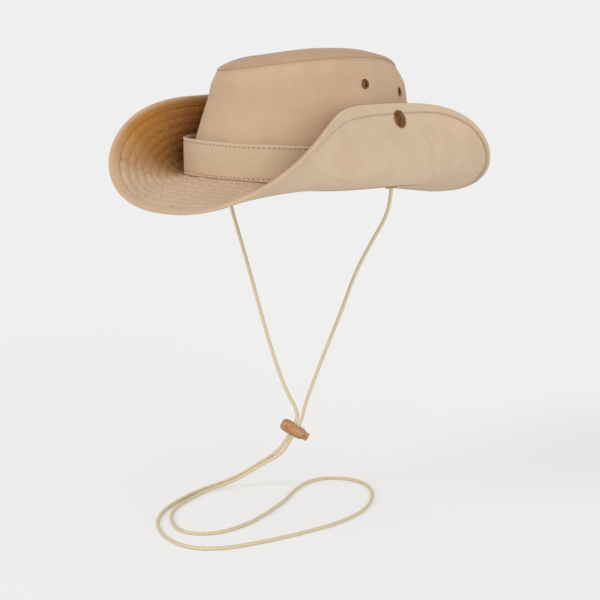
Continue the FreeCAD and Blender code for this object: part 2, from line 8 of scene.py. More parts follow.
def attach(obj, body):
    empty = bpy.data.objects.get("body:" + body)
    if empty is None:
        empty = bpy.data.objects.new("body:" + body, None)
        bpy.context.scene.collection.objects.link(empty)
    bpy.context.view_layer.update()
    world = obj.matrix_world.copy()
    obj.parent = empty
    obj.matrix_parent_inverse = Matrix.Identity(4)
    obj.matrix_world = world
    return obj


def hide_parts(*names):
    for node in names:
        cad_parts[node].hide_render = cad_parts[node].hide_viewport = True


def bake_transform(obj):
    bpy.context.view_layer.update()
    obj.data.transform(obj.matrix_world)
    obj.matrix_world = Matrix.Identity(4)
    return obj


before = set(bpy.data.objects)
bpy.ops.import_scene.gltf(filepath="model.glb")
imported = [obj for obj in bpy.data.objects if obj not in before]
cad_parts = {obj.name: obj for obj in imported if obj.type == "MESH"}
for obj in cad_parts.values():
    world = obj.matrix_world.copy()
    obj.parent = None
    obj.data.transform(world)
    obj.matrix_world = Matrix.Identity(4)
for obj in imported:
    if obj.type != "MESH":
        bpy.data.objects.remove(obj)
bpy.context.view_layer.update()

bpy.ops.object.select_all(action="DESELECT")

# ---------------------------------------------------------------------------------------------
# Camera: a long lens a little above the brim, off the front left quarter of the hat.
CAMERA_TURN = math.radians(35.611)
CAMERA_RISE = math.radians(8.696)
CAMERA_ROLL = math.radians(1.759)
CAMERA_DISTANCE = 1.35082
CAMERA_AIM = Vector((0.000084, 0.0, -0.093381))
back = Vector((
    math.sin(CAMERA_TURN) * math.cos(CAMERA_RISE),
    -math.cos(CAMERA_TURN) * math.cos(CAMERA_RISE),
    math.sin(CAMERA_RISE),
))
right = Vector((math.cos(CAMERA_TURN), math.sin(CAMERA_TURN), 0.0))
above = back.cross(right)
camera_x = right * math.cos(CAMERA_ROLL) + above * math.sin(CAMERA_ROLL)
camera_y = above * math.cos(CAMERA_ROLL) - right * math.sin(CAMERA_ROLL)
lens = bpy.data.cameras.new("camera")
lens.sensor_width = 36.0
lens.lens = 103.39
lens.clip_start = 0.05
lens.clip_end = 60.0
camera = bpy.data.objects.new("camera", lens)
bpy.context.collection.objects.link(camera)
facing = Matrix((camera_x, camera_y, back)).transposed().to_4x4()
facing.translation = CAMERA_AIM + back * CAMERA_DISTANCE
camera.matrix_world = facing
bpy.context.scene.camera = camera

# ---------------------------------------------------------------------------------------------
# Studio: a wide pale floor that the loop of cord lies on, a soft key light from the front left
# and a softer one low on the right. The floor runs into a backdrop of the same pale grey.
FLOOR_LEVEL = -0.2444
DAYLIGHT = 0.58
KEY_STRENGTH = 1.05
KEY_DIRECTION = Vector((-0.36, -0.90, 0.62)).normalized()
SIDE_STRENGTH = 1.25
SIDE_DIRECTION = Vector((0.90, -0.35, 0.22)).normalized()
PAPER = 0.863
FLOOR_TONE = 0.90
FLOOR_SHARE = 0.55
bpy.context.scene.view_settings.view_transform = "Standard"


def nodes_of(owner):
    owner.use_nodes = True
    owner.node_tree.nodes.clear()
    return owner.node_tree


def node(tree, kind, values=None, **settings):
    made = tree.nodes.new(kind)
    for name, value in settings.items():
        setattr(made, name, value)
    for socket, value in (values or {}).items():
        if isinstance(value, bpy.types.NodeSocket):
            tree.links.new(value, made.inputs[socket])
        else:
            made.inputs[socket].default_value = value
    return made


def maths(tree, operation, first, second=0.0, third=0.0):
    return node(tree, "ShaderNodeMath", {0: first, 1: second, 2: third}, operation=operation).outputs[0]


world = bpy.data.worlds.new("studio")
bpy.context.scene.world = world
tree = nodes_of(world)
seen = node(tree, "ShaderNodeLightPath")
direct = maths(tree, "MAXIMUM", seen.outputs["Is Camera Ray"], seen.outputs["Is Glossy Ray"])
direct = maths(tree, "MAXIMUM", direct, seen.outputs["Is Transmission Ray"])
soft_sky = node(tree, "ShaderNodeBackground", {"Color": (1.0, 0.99, 0.985, 1.0), "Strength": DAYLIGHT})
paper_sky = node(tree, "ShaderNodeBackground", {"Color": (PAPER, PAPER, PAPER, 1.0), "Strength": 1.0})
sky = node(tree, "ShaderNodeMixShader", {0: direct, 1: soft_sky.outputs[0], 2: paper_sky.outputs[0]})
node(tree, "ShaderNodeOutputWorld", {"Surface": sky.outputs[0]})

for light_name, strength, direction, spread in (
    ("key_light", KEY_STRENGTH, KEY_DIRECTION, 24.0),
    ("side_light", SIDE_STRENGTH, SIDE_DIRECTION, 55.0),
):
    lamp = bpy.data.lights.new(light_name, "SUN")
    lamp.energy = strength
    lamp.color = (1.0, 0.985, 0.97)
    lamp.angle = math.radians(spread)
    holder = bpy.data.objects.new(light_name, lamp)
    bpy.context.collection.objects.link(holder)
    holder.rotation_mode = "QUATERNION"
    holder.rotation_quaternion = direction.to_track_quat("Z", "Y")

floor_centre = (0.0, 0.0, FLOOR_LEVEL)
bpy.ops.mesh.primitive_circle_add(vertices=96, radius=14.0, fill_type="NGON", location=floor_centre)
floor = bpy.context.object
floor.name = "studio_floor"
bpy.ops.object.transform_apply()
floor_light = DAYLIGHT + (KEY_STRENGTH * KEY_DIRECTION.z + SIDE_STRENGTH * SIDE_DIRECTION.z) / math.pi
floor_paper = bpy.data.materials.new("floor_paper")
tree = nodes_of(floor_paper)
seen = node(tree, "ShaderNodeLightPath")
direct = maths(tree, "MAXIMUM", seen.outputs["Is Camera Ray"], seen.outputs["Is Glossy Ray"])
lifted = maths(tree, "MULTIPLY", direct, PAPER - FLOOR_SHARE * FLOOR_TONE * floor_light)
seen_tone = maths(tree, "MULTIPLY_ADD", direct, FLOOR_TONE * (FLOOR_SHARE - 1.0), FLOOR_TONE)
matt = node(tree, "ShaderNodeBsdfDiffuse", {"Color": seen_tone})
glow = node(tree, "ShaderNodeEmission", {"Color": (1.0, 1.0, 1.0, 1.0), "Strength": lifted})
shader = node(tree, "ShaderNodeAddShader", {0: matt.outputs[0], 1: glow.outputs[0]})
node(tree, "ShaderNodeOutputMaterial", {"Surface": shader.outputs[0]})
floor.data.materials.append(floor_paper)

# ---------------------------------------------------------------------------------------------
# Chin cord: round braided cotton cord, 2.8 mm, sewn into a tab at each side of the hat. Both
# ends come down through the toggle, and the rest lies in a long loop on the floor.
CORD_DIAMETER = 0.0028
CORD_STRAW = (0.745, 0.645, 0.450)
CORD_SHADE = (0.600, 0.490, 0.300)
TOGGLE_CENTRE = Vector((0.004, -0.008, -0.1955))
TOGGLE_TURN = math.radians(35.6)
TOGGLE_DIP = math.radians(29.0)
STRAND_PITCH = 0.0029
TAB_LEFT = Vector((0.0783, 0.004, 0.0))
TAB_RIGHT = Vector((-0.0783, 0.004, 0.0))
toggle_level = Vector((math.cos(TOGGLE_TURN), math.sin(TOGGLE_TURN), 0.0))
toggle_along = toggle_level * math.cos(TOGGLE_DIP) - Vector((0, 0, 1)) * math.sin(TOGGLE_DIP)
toggle_hole = toggle_level * math.sin(TOGGLE_DIP) + Vector((0, 0, 1)) * math.cos(TOGGLE_DIP)
beside = toggle_along * (STRAND_PITCH / 2)
mouth = toggle_hole * 0.009
cord_drop = Vector((0, 0, 0.007))

left_leg_route = [
    TAB_LEFT, TAB_LEFT - cord_drop,
    (0.0755, 0.003, -0.022), (0.065, 0.0015, -0.040), (0.0515, -0.001, -0.067), (0.0415, -0.0025, -0.097),
    (0.029, -0.0045, -0.129), (0.019, -0.0055, -0.156), (0.012, -0.0055, -0.174),
    TOGGLE_CENTRE + mouth + beside, TOGGLE_CENTRE + beside,
]
right_leg_route = [
    TAB_RIGHT, TAB_RIGHT - cord_drop,
    (-0.074, 0.003, -0.024), (-0.062, 0.001, -0.049), (-0.0465, -0.0015, -0.082), (-0.031, -0.0035, -0.118),
    (-0.0165, -0.005, -0.149), (-0.0055, -0.0055, -0.168), (0.0025, -0.005, -0.178),
    TOGGLE_CENTRE + mouth - beside, TOGGLE_CENTRE - beside,
]
loop_route = [
    TOGGLE_CENTRE - beside, TOGGLE_CENTRE - mouth - beside,
    (-0.008, -0.011, -0.2137), (-0.022, -0.014, -0.2246), (-0.038, -0.029, -0.2385), (-0.047, -0.060, -0.243),
    (-0.040, -0.095, -0.243), (-0.029, -0.128, -0.243), (-0.010, -0.157, -0.243), (0.017, -0.179, -0.243),
    (0.046, -0.187, -0.243), (0.065, -0.170, -0.243), (0.075, -0.138, -0.243), (0.083, -0.102, -0.243),
    (0.088, -0.062, -0.243), (0.083, -0.022, -0.243), (0.067, 0.013, -0.243), (0.045, 0.041, -0.243),
    (0.020, 0.049, -0.243), (0.000, 0.032, -0.243), (0.005, -0.002, -0.243), (0.021, -0.040, -0.243),
    (0.033, -0.080, -0.243), (0.040, -0.116, -0.243), (0.037, -0.149, -0.243), (0.017, -0.161, -0.243),
    (-0.007, -0.144, -0.243), (-0.025, -0.121, -0.243), (-0.035, -0.092, -0.243), (-0.042, -0.0605, -0.243),
    (-0.0345, -0.032, -0.239), (-0.0202, -0.0175, -0.2262), (-0.0048, -0.0115, -0.2160),
    TOGGLE_CENTRE - mouth + beside, TOGGLE_CENTRE + beside,
]


def spline_points(route):
    """The points that a smooth NURBS line through the route's control points gives."""
    line = bpy.data.curves.new("cord_line", "CURVE")
    line.dimensions = "3D"
    line.resolution_u = 24
    spline = line.splines.new("NURBS")
    spline.points.add(len(route) - 1)
    for place, point in zip(route, spline.points):
        point.co = (*place, 1.0)
    spline.order_u = 3
    spline.use_endpoint_u = True
    holder = bpy.data.objects.new("cord_line", line)
    mesh = bpy.data.meshes.new_from_object(holder)
    points = np.array([v.co[:] for v in mesh.vertices])
    bpy.data.objects.remove(holder)
    bpy.data.meshes.remove(mesh)
    return points


def even_points(points, step):
    """The same line with points a steady step apart, and its length."""
    steps = np.linalg.norm(np.diff(points, axis=0), axis=1)
    travelled = np.concatenate([[0.0], np.cumsum(steps)])
    stations = np.linspace(0.0, travelled[-1], int(round(travelled[-1] / step)) + 1)
    return np.stack([np.interp(stations, travelled, points[:, i]) for i in range(3)], axis=1), travelled[-1]


def make_object(name, points, faces, materials, sharp):
    """A smooth-shaded mesh whose edges stay crisp where its faces meet at more than this angle."""
    mesh = bpy.data.meshes.new(name)
    mesh.from_pydata([tuple(p) for p in points], [], faces)
    mesh.update()
    for material in materials:
        mesh.materials.append(material)
    made = bpy.data.objects.new(name, mesh)
    bpy.context.collection.objects.link(made)
    bpy.ops.object.select_all(action="DESELECT")
    made.select_set(True)
    bpy.context.view_layer.objects.active = made
    bpy.ops.object.shade_smooth_by_angle(angle=math.radians(sharp))
    return made


BRAID_SIDES = 16
BRAID_STRANDS = 4
BRAID_LAY = 0.0048
BRAID_RELIEF = 0.00011


def braided_cord(name, route, material):
    """A round braid along the route: its strands cross over and under in two directions."""
    centre, length = even_points(spline_points(route), 0.00045)
    tangent = np.gradient(centre, axis=0)
    tangent /= np.linalg.norm(tangent, axis=1)[:, None]
    round_angle = np.arange(BRAID_SIDES + 1) / BRAID_SIDES * 2 * math.pi
    side = np.cross(tangent[0], [0.0, 1.0, 0.2])
    points, uv = [], []
    for place, direction, travelled in zip(centre, tangent, np.linspace(0.0, length, len(centre))):
        side = side - direction * np.dot(side, direction)
        side /= np.linalg.norm(side)
        other = np.cross(direction, side)
        lay = travelled / BRAID_LAY * 2 * math.pi
        strand = BRAID_STRANDS * round_angle
        crossing = np.cos(strand + lay) * np.cos(strand - lay)
        radius = CORD_DIAMETER / 2 + BRAID_RELIEF * (crossing - 0.3)
        ring = side * np.cos(round_angle)[:, None] + other * np.sin(round_angle)[:, None]
        points.extend((place + ring * radius[:, None])[:-1])
        uv.append(np.stack([round_angle / (2 * math.pi), np.full(BRAID_SIDES + 1, travelled)], axis=1))
    faces, corners = [], []
    for i in range(len(centre) - 1):
        for j in range(BRAID_SIDES):
            near, far, k = i * BRAID_SIDES, (i + 1) * BRAID_SIDES, (j + 1) % BRAID_SIDES
            faces.append((near + j, near + k, far + k, far + j))
            corners.extend((uv[i][j], uv[i][j + 1], uv[i + 1][j + 1], uv[i + 1][j]))
    last = (len(centre) - 1) * BRAID_SIDES
    faces.append(tuple(range(BRAID_SIDES - 1, -1, -1)))
    faces.append(tuple(range(last, last + BRAID_SIDES)))
    corners.extend(uv[0][:BRAID_SIDES][::-1])
    corners.extend(uv[-1][:BRAID_SIDES])
    made = make_object(name, points, faces, [material], 60)
    layer = made.data.uv_layers.new(name="braid")
    layer.data.foreach_set("uv", np.array(corners, dtype=np.float32).ravel())
    return made, centre


def mixed(tree, share, first, second, blend_type="MIX"):
    """One colour laid over another."""
    made = node(tree, "ShaderNodeMix", {0: share}, data_type="RGBA", blend_type=blend_type)
    for socket, value in ((6, first), (7, second)):
        if isinstance(value, bpy.types.NodeSocket):
            tree.links.new(value, made.inputs[socket])
        else:
            made.inputs[socket].default_value = (*value, 1.0)
    return made.outputs[2]


def ramp(tree, value, low, high, to_low=0.0, to_high=1.0):
    """A value taken smoothly from one range to another."""
    values = {"Value": value, "From Min": low, "From Max": high, "To Min": to_low, "To Max": to_high}
    return node(tree, "ShaderNodeMapRange", values, interpolation_type="SMOOTHSTEP").outputs[0]


cord_cotton = bpy.data.materials.new("cord_cotton")
tree = nodes_of(cord_cotton)
axes = node(tree, "ShaderNodeSeparateXYZ", {0: node(tree, "ShaderNodeUVMap", uv_map="braid").outputs[0]})
around = maths(tree, "MULTIPLY", axes.outputs["X"], 2 * math.pi * BRAID_STRANDS)
along = maths(tree, "MULTIPLY", axes.outputs["Y"], 2 * math.pi / BRAID_LAY)
one_way = maths(tree, "COSINE", maths(tree, "ADD", around, along))
other_way = maths(tree, "COSINE", maths(tree, "SUBTRACT", around, along))
crossings = maths(tree, "MULTIPLY_ADD", maths(tree, "MULTIPLY", one_way, other_way), 0.5, 0.5)
place = node(tree, "ShaderNodeTexCoord").outputs["Object"]
fibres = node(tree, "ShaderNodeTexNoise", {"Vector": place, "Scale": 2600.0, "Detail": 2.0, "Roughness": 0.6})
patches = node(tree, "ShaderNodeTexNoise", {"Vector": place, "Scale": 70.0, "Detail": 2.0})
lit = maths(tree, "MULTIPLY_ADD", fibres.outputs["Fac"], 0.5, maths(tree, "MULTIPLY", crossings, 0.75))
tone = mixed(tree, ramp(tree, lit, 0.15, 0.8), CORD_SHADE, CORD_STRAW)
tone = mixed(tree, ramp(tree, patches.outputs["Fac"], 0.4, 0.7, 0.0, 0.25), tone, (0.72, 0.60, 0.43))
bumps = node(tree, "ShaderNodeBump", {"Strength": 0.7, "Distance": 0.0002, "Height": lit})
finish = {"Base Color": tone, "Roughness": 0.85, "Normal": bumps.outputs[0]}
shader = node(tree, "ShaderNodeBsdfPrincipled", finish)
shader.inputs["Specular IOR Level"].default_value = 0.25
shader.inputs["Sheen Weight"].default_value = 0.15
node(tree, "ShaderNodeOutputMaterial", {"Surface": shader.outputs[0]})

left_leg, left_line = braided_cord("chin_cord_left_leg", left_leg_route, cord_cotton)
right_leg, right_line = braided_cord("chin_cord_right_leg", right_leg_route, cord_cotton)
cord_loop, loop_line = braided_cord("chin_cord_floor_loop", loop_route, cord_cotton)
for leg, line, tab, solid, reach in (
    (left_leg, left_line, TAB_LEFT, "chin_cord_left", 0.2111),
    (right_leg, right_line, TAB_RIGHT, "chin_cord_right", 0.2154),
):
    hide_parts(solid)
    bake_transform(leg)
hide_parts("chin_cord_loop")
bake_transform(cord_loop)

# ---------------------------------------------------------------------------------------------
# Toggle: a turned wooden barrel, stained brown, 24 mm long. It has a rounded end, a narrower
# neck, and one wide cross hole that grips both strands of the cord.
TOGGLE_PROFILE = [
    (0.0011, 0.0), (0.0026, 0.0002), (0.0038, 0.0008), (0.0046, 0.0020), (0.0050, 0.0042), (0.0051, 0.0080),
    (0.0051, 0.0125), (0.0049, 0.0163), (0.0045, 0.0186), (0.0038, 0.0198), (0.0033, 0.0206),
    (0.00325, 0.0222), (0.0034, 0.0232), (0.0029, 0.0239), (0.0012, 0.0240),
]
TOGGLE_HOLE_PLACE = 0.0115
TOGGLE_BORE = 0.00315
WOOD_LIGHT = (0.540, 0.275, 0.115)
WOOD_DARK = (0.370, 0.165, 0.060)


def turned(name, profile, sides, material, open_ring=False, sharp=40):
    """A lathe-turned shape round the upright axis: a circle extruded and resized along a profile."""
    bpy.ops.object.select_all(action="DESELECT")
    radius, level = profile[0]
    fill = "NOTHING" if open_ring else "NGON"
    place = (0.0, 0.0, level)
    bpy.ops.mesh.primitive_circle_add(vertices=sides, radius=radius, fill_type=fill, location=place)
    made = bpy.context.object
    made.name = name
    bpy.ops.object.transform_apply()
    bpy.ops.object.mode_set(mode="EDIT")
    bpy.ops.mesh.select_all(action="SELECT")
    for next_radius, next_level in profile[1:] + ([profile[0]] if open_ring else []):
        bpy.ops.mesh.extrude_region_move(TRANSFORM_OT_translate={"value": (0.0, 0.0, next_level - level)})
        grow = next_radius / radius
        bpy.ops.transform.resize(value=(grow, grow, 1.0), center_override=(0.0, 0.0, next_level))
        radius, level = next_radius, next_level
    bpy.ops.mesh.select_all(action="SELECT")
    bpy.ops.mesh.remove_doubles(threshold=0.00001)
    bpy.ops.mesh.normals_make_consistent(inside=False)
    bpy.ops.object.mode_set(mode="OBJECT")
    bpy.ops.object.shade_smooth_by_angle(angle=math.radians(sharp))
    made.data.materials.append(material)
    return made


def smooth_over(made, levels):
    """Finishes a shape with a subdivision surface."""
    bpy.context.view_layer.objects.active = made
    rounder = made.modifiers.new("rounded", "SUBSURF")
    rounder.levels = levels
    rounder.render_levels = levels
    bpy.ops.object.modifier_apply(modifier=rounder.name)


def bore(made, radius, foot, axis, length):
    """Drills a round hole through a finished shape."""
    bpy.ops.object.select_all(action="DESELECT")
    lean = axis.to_track_quat("Z", "Y").to_euler()
    size = {"radius": radius, "depth": length}
    bpy.ops.mesh.primitive_cylinder_add(vertices=40, location=foot, rotation=lean, **size)
    drill = bpy.context.object
    cut = made.modifiers.new("bore", "BOOLEAN")
    cut.object = drill
    cut.operation = "DIFFERENCE"
    cut.solver = "EXACT"
    bpy.context.view_layer.objects.active = made
    bpy.ops.object.modifier_apply(modifier=cut.name)
    bpy.data.objects.remove(drill)


def set_down(made, foot, axis, across=None):
    """Puts a turned shape's foot and axis in place, in its own mesh."""
    axis = Vector(axis).normalized()
    across = Vector(across) if across is not None else Vector((0.0, 0.0, 1.0))
    second = axis.cross(across).normalized()
    first = second.cross(axis)
    turn = Matrix((first, second, axis)).transposed().to_4x4()
    turn.translation = Vector(foot)
    made.data.transform(turn)
    made.data.update()


toggle_wood = bpy.data.materials.new("toggle_wood")
tree = nodes_of(toggle_wood)
grain_place = node(tree, "ShaderNodeAttribute", attribute_name="grain").outputs["Vector"]
long_grain = node(tree, "ShaderNodeMapping", {"Vector": grain_place, "Scale": (1.0, 1.0, 0.16)})
rings = node(
    tree, "ShaderNodeTexWave",
    {"Vector": long_grain.outputs[0], "Scale": 260.0, "Distortion": 3.5, "Detail": 3.0, "Detail Scale": 1.4},
    wave_type="RINGS", rings_direction="X",
)
pores = node(tree, "ShaderNodeTexNoise", {"Vector": long_grain.outputs[0], "Scale": 2600.0, "Detail": 3.0})
stain = node(tree, "ShaderNodeTexNoise", {"Vector": grain_place, "Scale": 130.0, "Detail": 2.0})
stained = maths(tree, "MULTIPLY", stain.outputs["Fac"], 0.6)
figure = maths(tree, "MULTIPLY_ADD", rings.outputs["Fac"], 0.5, stained)
tone = mixed(tree, ramp(tree, figure, 0.2, 0.85), WOOD_DARK, WOOD_LIGHT)
tone = mixed(tree, ramp(tree, pores.outputs["Fac"], 0.58, 0.72, 0.0, 0.45), tone, (0.22, 0.085, 0.03))
wear = ramp(tree, node(tree, "ShaderNodeNewGeometry").outputs["Pointiness"], 0.52, 0.58, 0.0, 0.5)
tone = mixed(tree, wear, tone, (0.66, 0.37, 0.17))
bumps = node(tree, "ShaderNodeBump", {"Strength": 0.35, "Distance": 0.0002, "Height": pores.outputs["Fac"]})
gloss = ramp(tree, figure, 0.2, 0.9, 0.42, 0.55)
finish = {"Base Color": tone, "Roughness": gloss, "Normal": bumps.outputs[0]}
shader = node(tree, "ShaderNodeBsdfPrincipled", finish)
shader.inputs["Coat Weight"].default_value = 0.2
shader.inputs["Coat Roughness"].default_value = 0.3
node(tree, "ShaderNodeOutputMaterial", {"Surface": shader.outputs[0]})

toggle = turned("toggle_barrel", TOGGLE_PROFILE, 32, toggle_wood)
smooth_over(toggle, 1)
bore(toggle, TOGGLE_BORE, (0.0, 0.0, TOGGLE_HOLE_PLACE), Vector((1.0, 0.0, 0.0)), 0.02)
edge = toggle.modifiers.new("worn_edge", "BEVEL")
edge.width = 0.00035
edge.segments = 3
edge.limit_method = "ANGLE"
edge.angle_limit = math.radians(50)
bpy.ops.object.modifier_apply(modifier=edge.name)
bpy.ops.object.shade_smooth_by_angle(angle=math.radians(35))
grain = toggle.data.attributes.new("grain", "FLOAT_VECTOR", "POINT")
grain.data.foreach_set("vector", np.array([v.co[:] for v in toggle.data.vertices], dtype=np.float32).ravel())
set_down(toggle, TOGGLE_CENTRE - toggle_along * TOGGLE_HOLE_PLACE, toggle_along, toggle_hole)
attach(toggle, "toggle")
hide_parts("toggle")

# ---------------------------------------------------------------------------------------------
# Brim: two layers of cotton canvas quilted over a stiff interlining in rows of stitching, with
# a rolled hem. The sides are snapped up against the crown, and it is built as two halves.
OPENING_HALF_WIDTH = 0.084
OPENING_HALF_LENGTH = 0.100
BRIM_WIDTH = 0.0667
BRIM_HALF_THICK = 0.00135
BEND_START = 0.0658
BEND_TAPER = 0.025
BEND_LENGTH = 0.0546
BEND_TURN = math.radians(110.0)
BEND_REACH = 0.125
BEND_FALLOFF = 2.6
BEND_SHIFT = 0.009
SEAM_FRONT_RISE = 0.005
DROOP_FRONT = math.tan(math.radians(13.6))
DROOP_BACK = math.tan(math.radians(10.6))
CURL_FRONT = 0.0029
CURL_BACK = 0.0022
HEM_LINE = BRIM_WIDTH - 0.0085
ROW_PITCH = 0.0072
SNAP_RUN = 0.054
SEAM_ROW = 0.0056
FOLDS = (
    ((96, 0.050), (122, 0.010), 0.0016, 0.00170),
    ((100, 0.051), (124, 0.014), 0.0022, -0.00100),
    ((44, 0.042), (60, 0.014), 0.0018, 0.00080),
    ((50, 0.044), (64, 0.016), 0.0018, 0.00075),
    ((57, 0.046), (69, 0.020), 0.0018, 0.00060),
    ((113, 0.050), (137, 0.022), 0.0020, 0.00060),
    ((121, 0.050), (144, 0.026), 0.0020, 0.00055),
)
UPPER_STEPS = 92
EDGE_STEPS = 7
LOWER_STEPS = 74
CANVAS_LIGHT = (0.635, 0.450, 0.298)
CANVAS_DARK = (0.560, 0.385, 0.245)
CANVAS_SHADE = (0.470, 0.290, 0.160)
THREAD = (0.720, 0.560, 0.390)
# Painted shade: the dark colour of the needle holes in the stitching.
STITCH_HOLE_SHADE = (0.190, 0.105, 0.050)


def opening_point(turn, outward):
    """Points on the oval of the head opening, moved straight out by a distance."""
    x = OPENING_HALF_WIDTH * np.sin(turn)
    y = -OPENING_HALF_LENGTH * np.cos(turn)
    across, ahead = np.sin(turn) / OPENING_HALF_WIDTH, -np.cos(turn) / OPENING_HALF_LENGTH
    reach = outward / np.hypot(across, ahead)
    return x + across * reach, y + ahead * reach


def brim_middle(turn, run):
    """Points in the middle of the brim's thickness, a distance out from the head opening."""
    turn, run = np.broadcast_arrays(turn, run)
    x, y = opening_point(turn, run)
    front, rear = np.maximum(np.cos(turn), 0.0) ** 2, np.maximum(-np.cos(turn), 0.0) ** 2
    z = SEAM_FRONT_RISE * front - run * (DROOP_FRONT * front + DROOP_BACK * rear)
    z = z - (CURL_FRONT * front + CURL_BACK * rear) * (run / BRIM_WIDTH) ** 2
    start = BEND_START - BEND_TAPER * (y / 0.100) ** 2
    length = np.maximum(np.abs(x) - start, 0.0)
    most = BEND_TURN * np.exp(-np.abs((y + BEND_SHIFT) / BEND_REACH) ** BEND_FALLOFF)
    level, rise = np.zeros_like(x), np.zeros_like(x)
    for step in range(24):
        share = np.minimum((step + 0.5) / 24 * length / BEND_LENGTH, 1.0)
        angle = most * share * share * (3.0 - 2.0 * share)
        level += np.cos(angle) * length / 24
        rise += np.sin(angle) * length / 24
    x = np.where(length > 0.0, np.copysign(start + level, x), x)
    return np.stack([x, y, z + rise], axis=-1)


def brim_normal(turn, run):
    """Directions out of the brim's upper cloth."""
    step, small = 0.00005, 0.0005
    outward = brim_middle(turn, run + step) - brim_middle(turn, run - step)
    onward = brim_middle(turn + small, run) - brim_middle(turn - small, run)
    across = np.cross(outward, onward)
    return across / np.linalg.norm(across, axis=-1, keepdims=True)


def rumple(x, y, scale, depth, seed):
    """Soft unevenness in cloth, the same on every run."""
    flat = zip(np.ravel(x) * scale, np.ravel(y) * scale)
    values = [noise.fractal(Vector((a, b, seed)), 1.0, 2.0, 2) for a, b in flat]
    return depth * np.array(values).reshape(np.shape(x))


def crease(turn, run, first, last, width, depth):
    """A single soft fold between two places on the brim."""
    ax, ay = opening_point(np.radians(first[0]), first[1])
    bx, by = opening_point(np.radians(last[0]), last[1])
    x, y = opening_point(turn, run)
    dot = (x - ax) * (bx - ax) + (y - ay) * (by - ay)
    along = np.clip(dot / ((bx - ax) ** 2 + (by - ay) ** 2), 0.0, 1.0)
    away = np.hypot(x - ax - along * (bx - ax), y - ay - along * (by - ay))
    return depth * np.exp(-(away / width) ** 2) * np.sin(math.pi * np.clip(along, 0.08, 0.92)) ** 0.5


def row_distance(run):
    """How far a place is from the nearest row of quilting, and its share of the way across."""
    share = np.mod(HEM_LINE - run, ROW_PITCH) / ROW_PITCH
    return np.minimum(share, 1.0 - share) * ROW_PITCH, share


def hem_drift(turn):
    """How far the under side of the hem narrows towards the back of the brim."""
    back = np.clip((np.degrees(np.abs(turn)) - 82.0) / 52.0, 0.0, 1.0)
    return 0.0048 * back * back * (3.0 - 2.0 * back)


def hem_shape(run, puff, depth=0.00042):
    """The turned hem: a groove at its stitching and a soft roll out to the edge."""
    groove = -depth * np.exp(-((run - HEM_LINE) / 0.0006) ** 2)
    share = np.clip((run - HEM_LINE) / (BRIM_WIDTH - HEM_LINE), 0.0, 1.0)
    return groove + puff * np.sin(math.pi * share ** 0.8)


def pressed(turn, run):
    """The cloth lies flat under each snap: nothing there, and all of its relief further out."""
    x, y = opening_point(turn, run)
    snap_x, snap_y = opening_point(math.pi / 2, SNAP_RUN)
    return np.clip((np.hypot(np.abs(x) - snap_x, y - snap_y) - 0.0072) / 0.0035, 0.0, 1.0)


def upper_relief(turn, run):
    """Puffed ribs between the quilting rows on the upper cloth."""
    away, share = row_distance(run)
    inside = run < HEM_LINE
    puff = 0.00056 + rumple(turn * 2.4, run * 60.0, 4.0, 0.00045, 3.0)
    rib = puff * np.sin(math.pi * share) ** 1.1
    pucker = rumple(turn * 0.125, run * 0.7, 190.0, 0.0011, 8.0) * np.exp(-(away / 0.0030) ** 2)
    sewn_down = 0.00030 * np.exp(-((run - SEAM_ROW) / 0.0006) ** 2)
    pucker = pucker + rumple(turn * 0.125, run, 75.0, 0.0014, 11.0) - sewn_down
    fade = np.clip((run - 0.001) / 0.003, 0.0, 1.0)
    relief = np.where(inside, rib * fade + pucker * fade, 0.0) + hem_shape(run, 0.00045)
    return relief * pressed(turn, run)


def lower_relief(turn, run, side):
    """The under cloth lies smoother: a hem, faint rows and a few soft folds."""
    run = run - hem_drift(turn) * np.clip((run - 0.035) / 0.018, 0.0, 1.0)
    away = row_distance(run)[0]
    faint = -0.00006 * np.exp(-(away / 0.0007) ** 2) * (run < HEM_LINE)
    x, y = opening_point(turn, run)
    soft = rumple(x, y, 26.0, 0.00035, 5.0 + side) + rumple(x, y, 110.0, 0.00012, 9.0)
    folds = 0.0
    for first, last, width, depth in FOLDS:
        folds = folds + crease(turn, run, first, last, width, depth)
    fade = np.clip((BRIM_WIDTH - run) / 0.004, 0.0, 1.0)
    hem = hem_shape(run, 0.00045, 0.00025 + 0.00075 * np.clip((np.degrees(turn) - 60) / 45, 0.0, 1.0))
    return (faint + (soft + folds) * fade + hem) * pressed(turn, run)


def stitching(tree, along, across, lines, length, pitch=None):
    """Thread, needle holes and a groove along seam lines: one share for each, to colour and raise. The dark
    holes and the darkened groove are painted shade.
    """
    away = None
    for line in lines:
        gap = maths(tree, "ABSOLUTE", maths(tree, "SUBTRACT", across, line))
        away = gap if away is None else maths(tree, "MINIMUM", away, gap)
    if pitch is not None:
        gap = maths(tree, "PINGPONG", maths(tree, "SUBTRACT", across, lines[0]), pitch / 2)
        below = maths(tree, "LESS_THAN", across, lines[0])
        away = maths(tree, "MINIMUM", away, maths(tree, "ADD", gap, maths(tree, "SUBTRACT", 1.0, below)))
    from_hole = maths(tree, "PINGPONG", along, length / 2)
    thread_width = ramp(tree, away, 0.00018, 0.00034, 1.0, 0.0)
    thread_length = ramp(tree, from_hole, length * 0.10, length * 0.22)
    thread = maths(tree, "MULTIPLY", thread_width, thread_length)
    hole_width = ramp(tree, away, 0.00022, 0.00055, 1.0, 0.0)
    hole_length = ramp(tree, from_hole, length * 0.08, length * 0.26, 1.0, 0.0)
    hole = maths(tree, "MULTIPLY", hole_width, hole_length)
    # Painted shade: a band either side of each seam line, darkened in colour and also sunk a little as a
    # groove.
    groove_shade = ramp(tree, away, 0.0002, 0.0011, 1.0, 0.0)
    return thread, hole, groove_shade


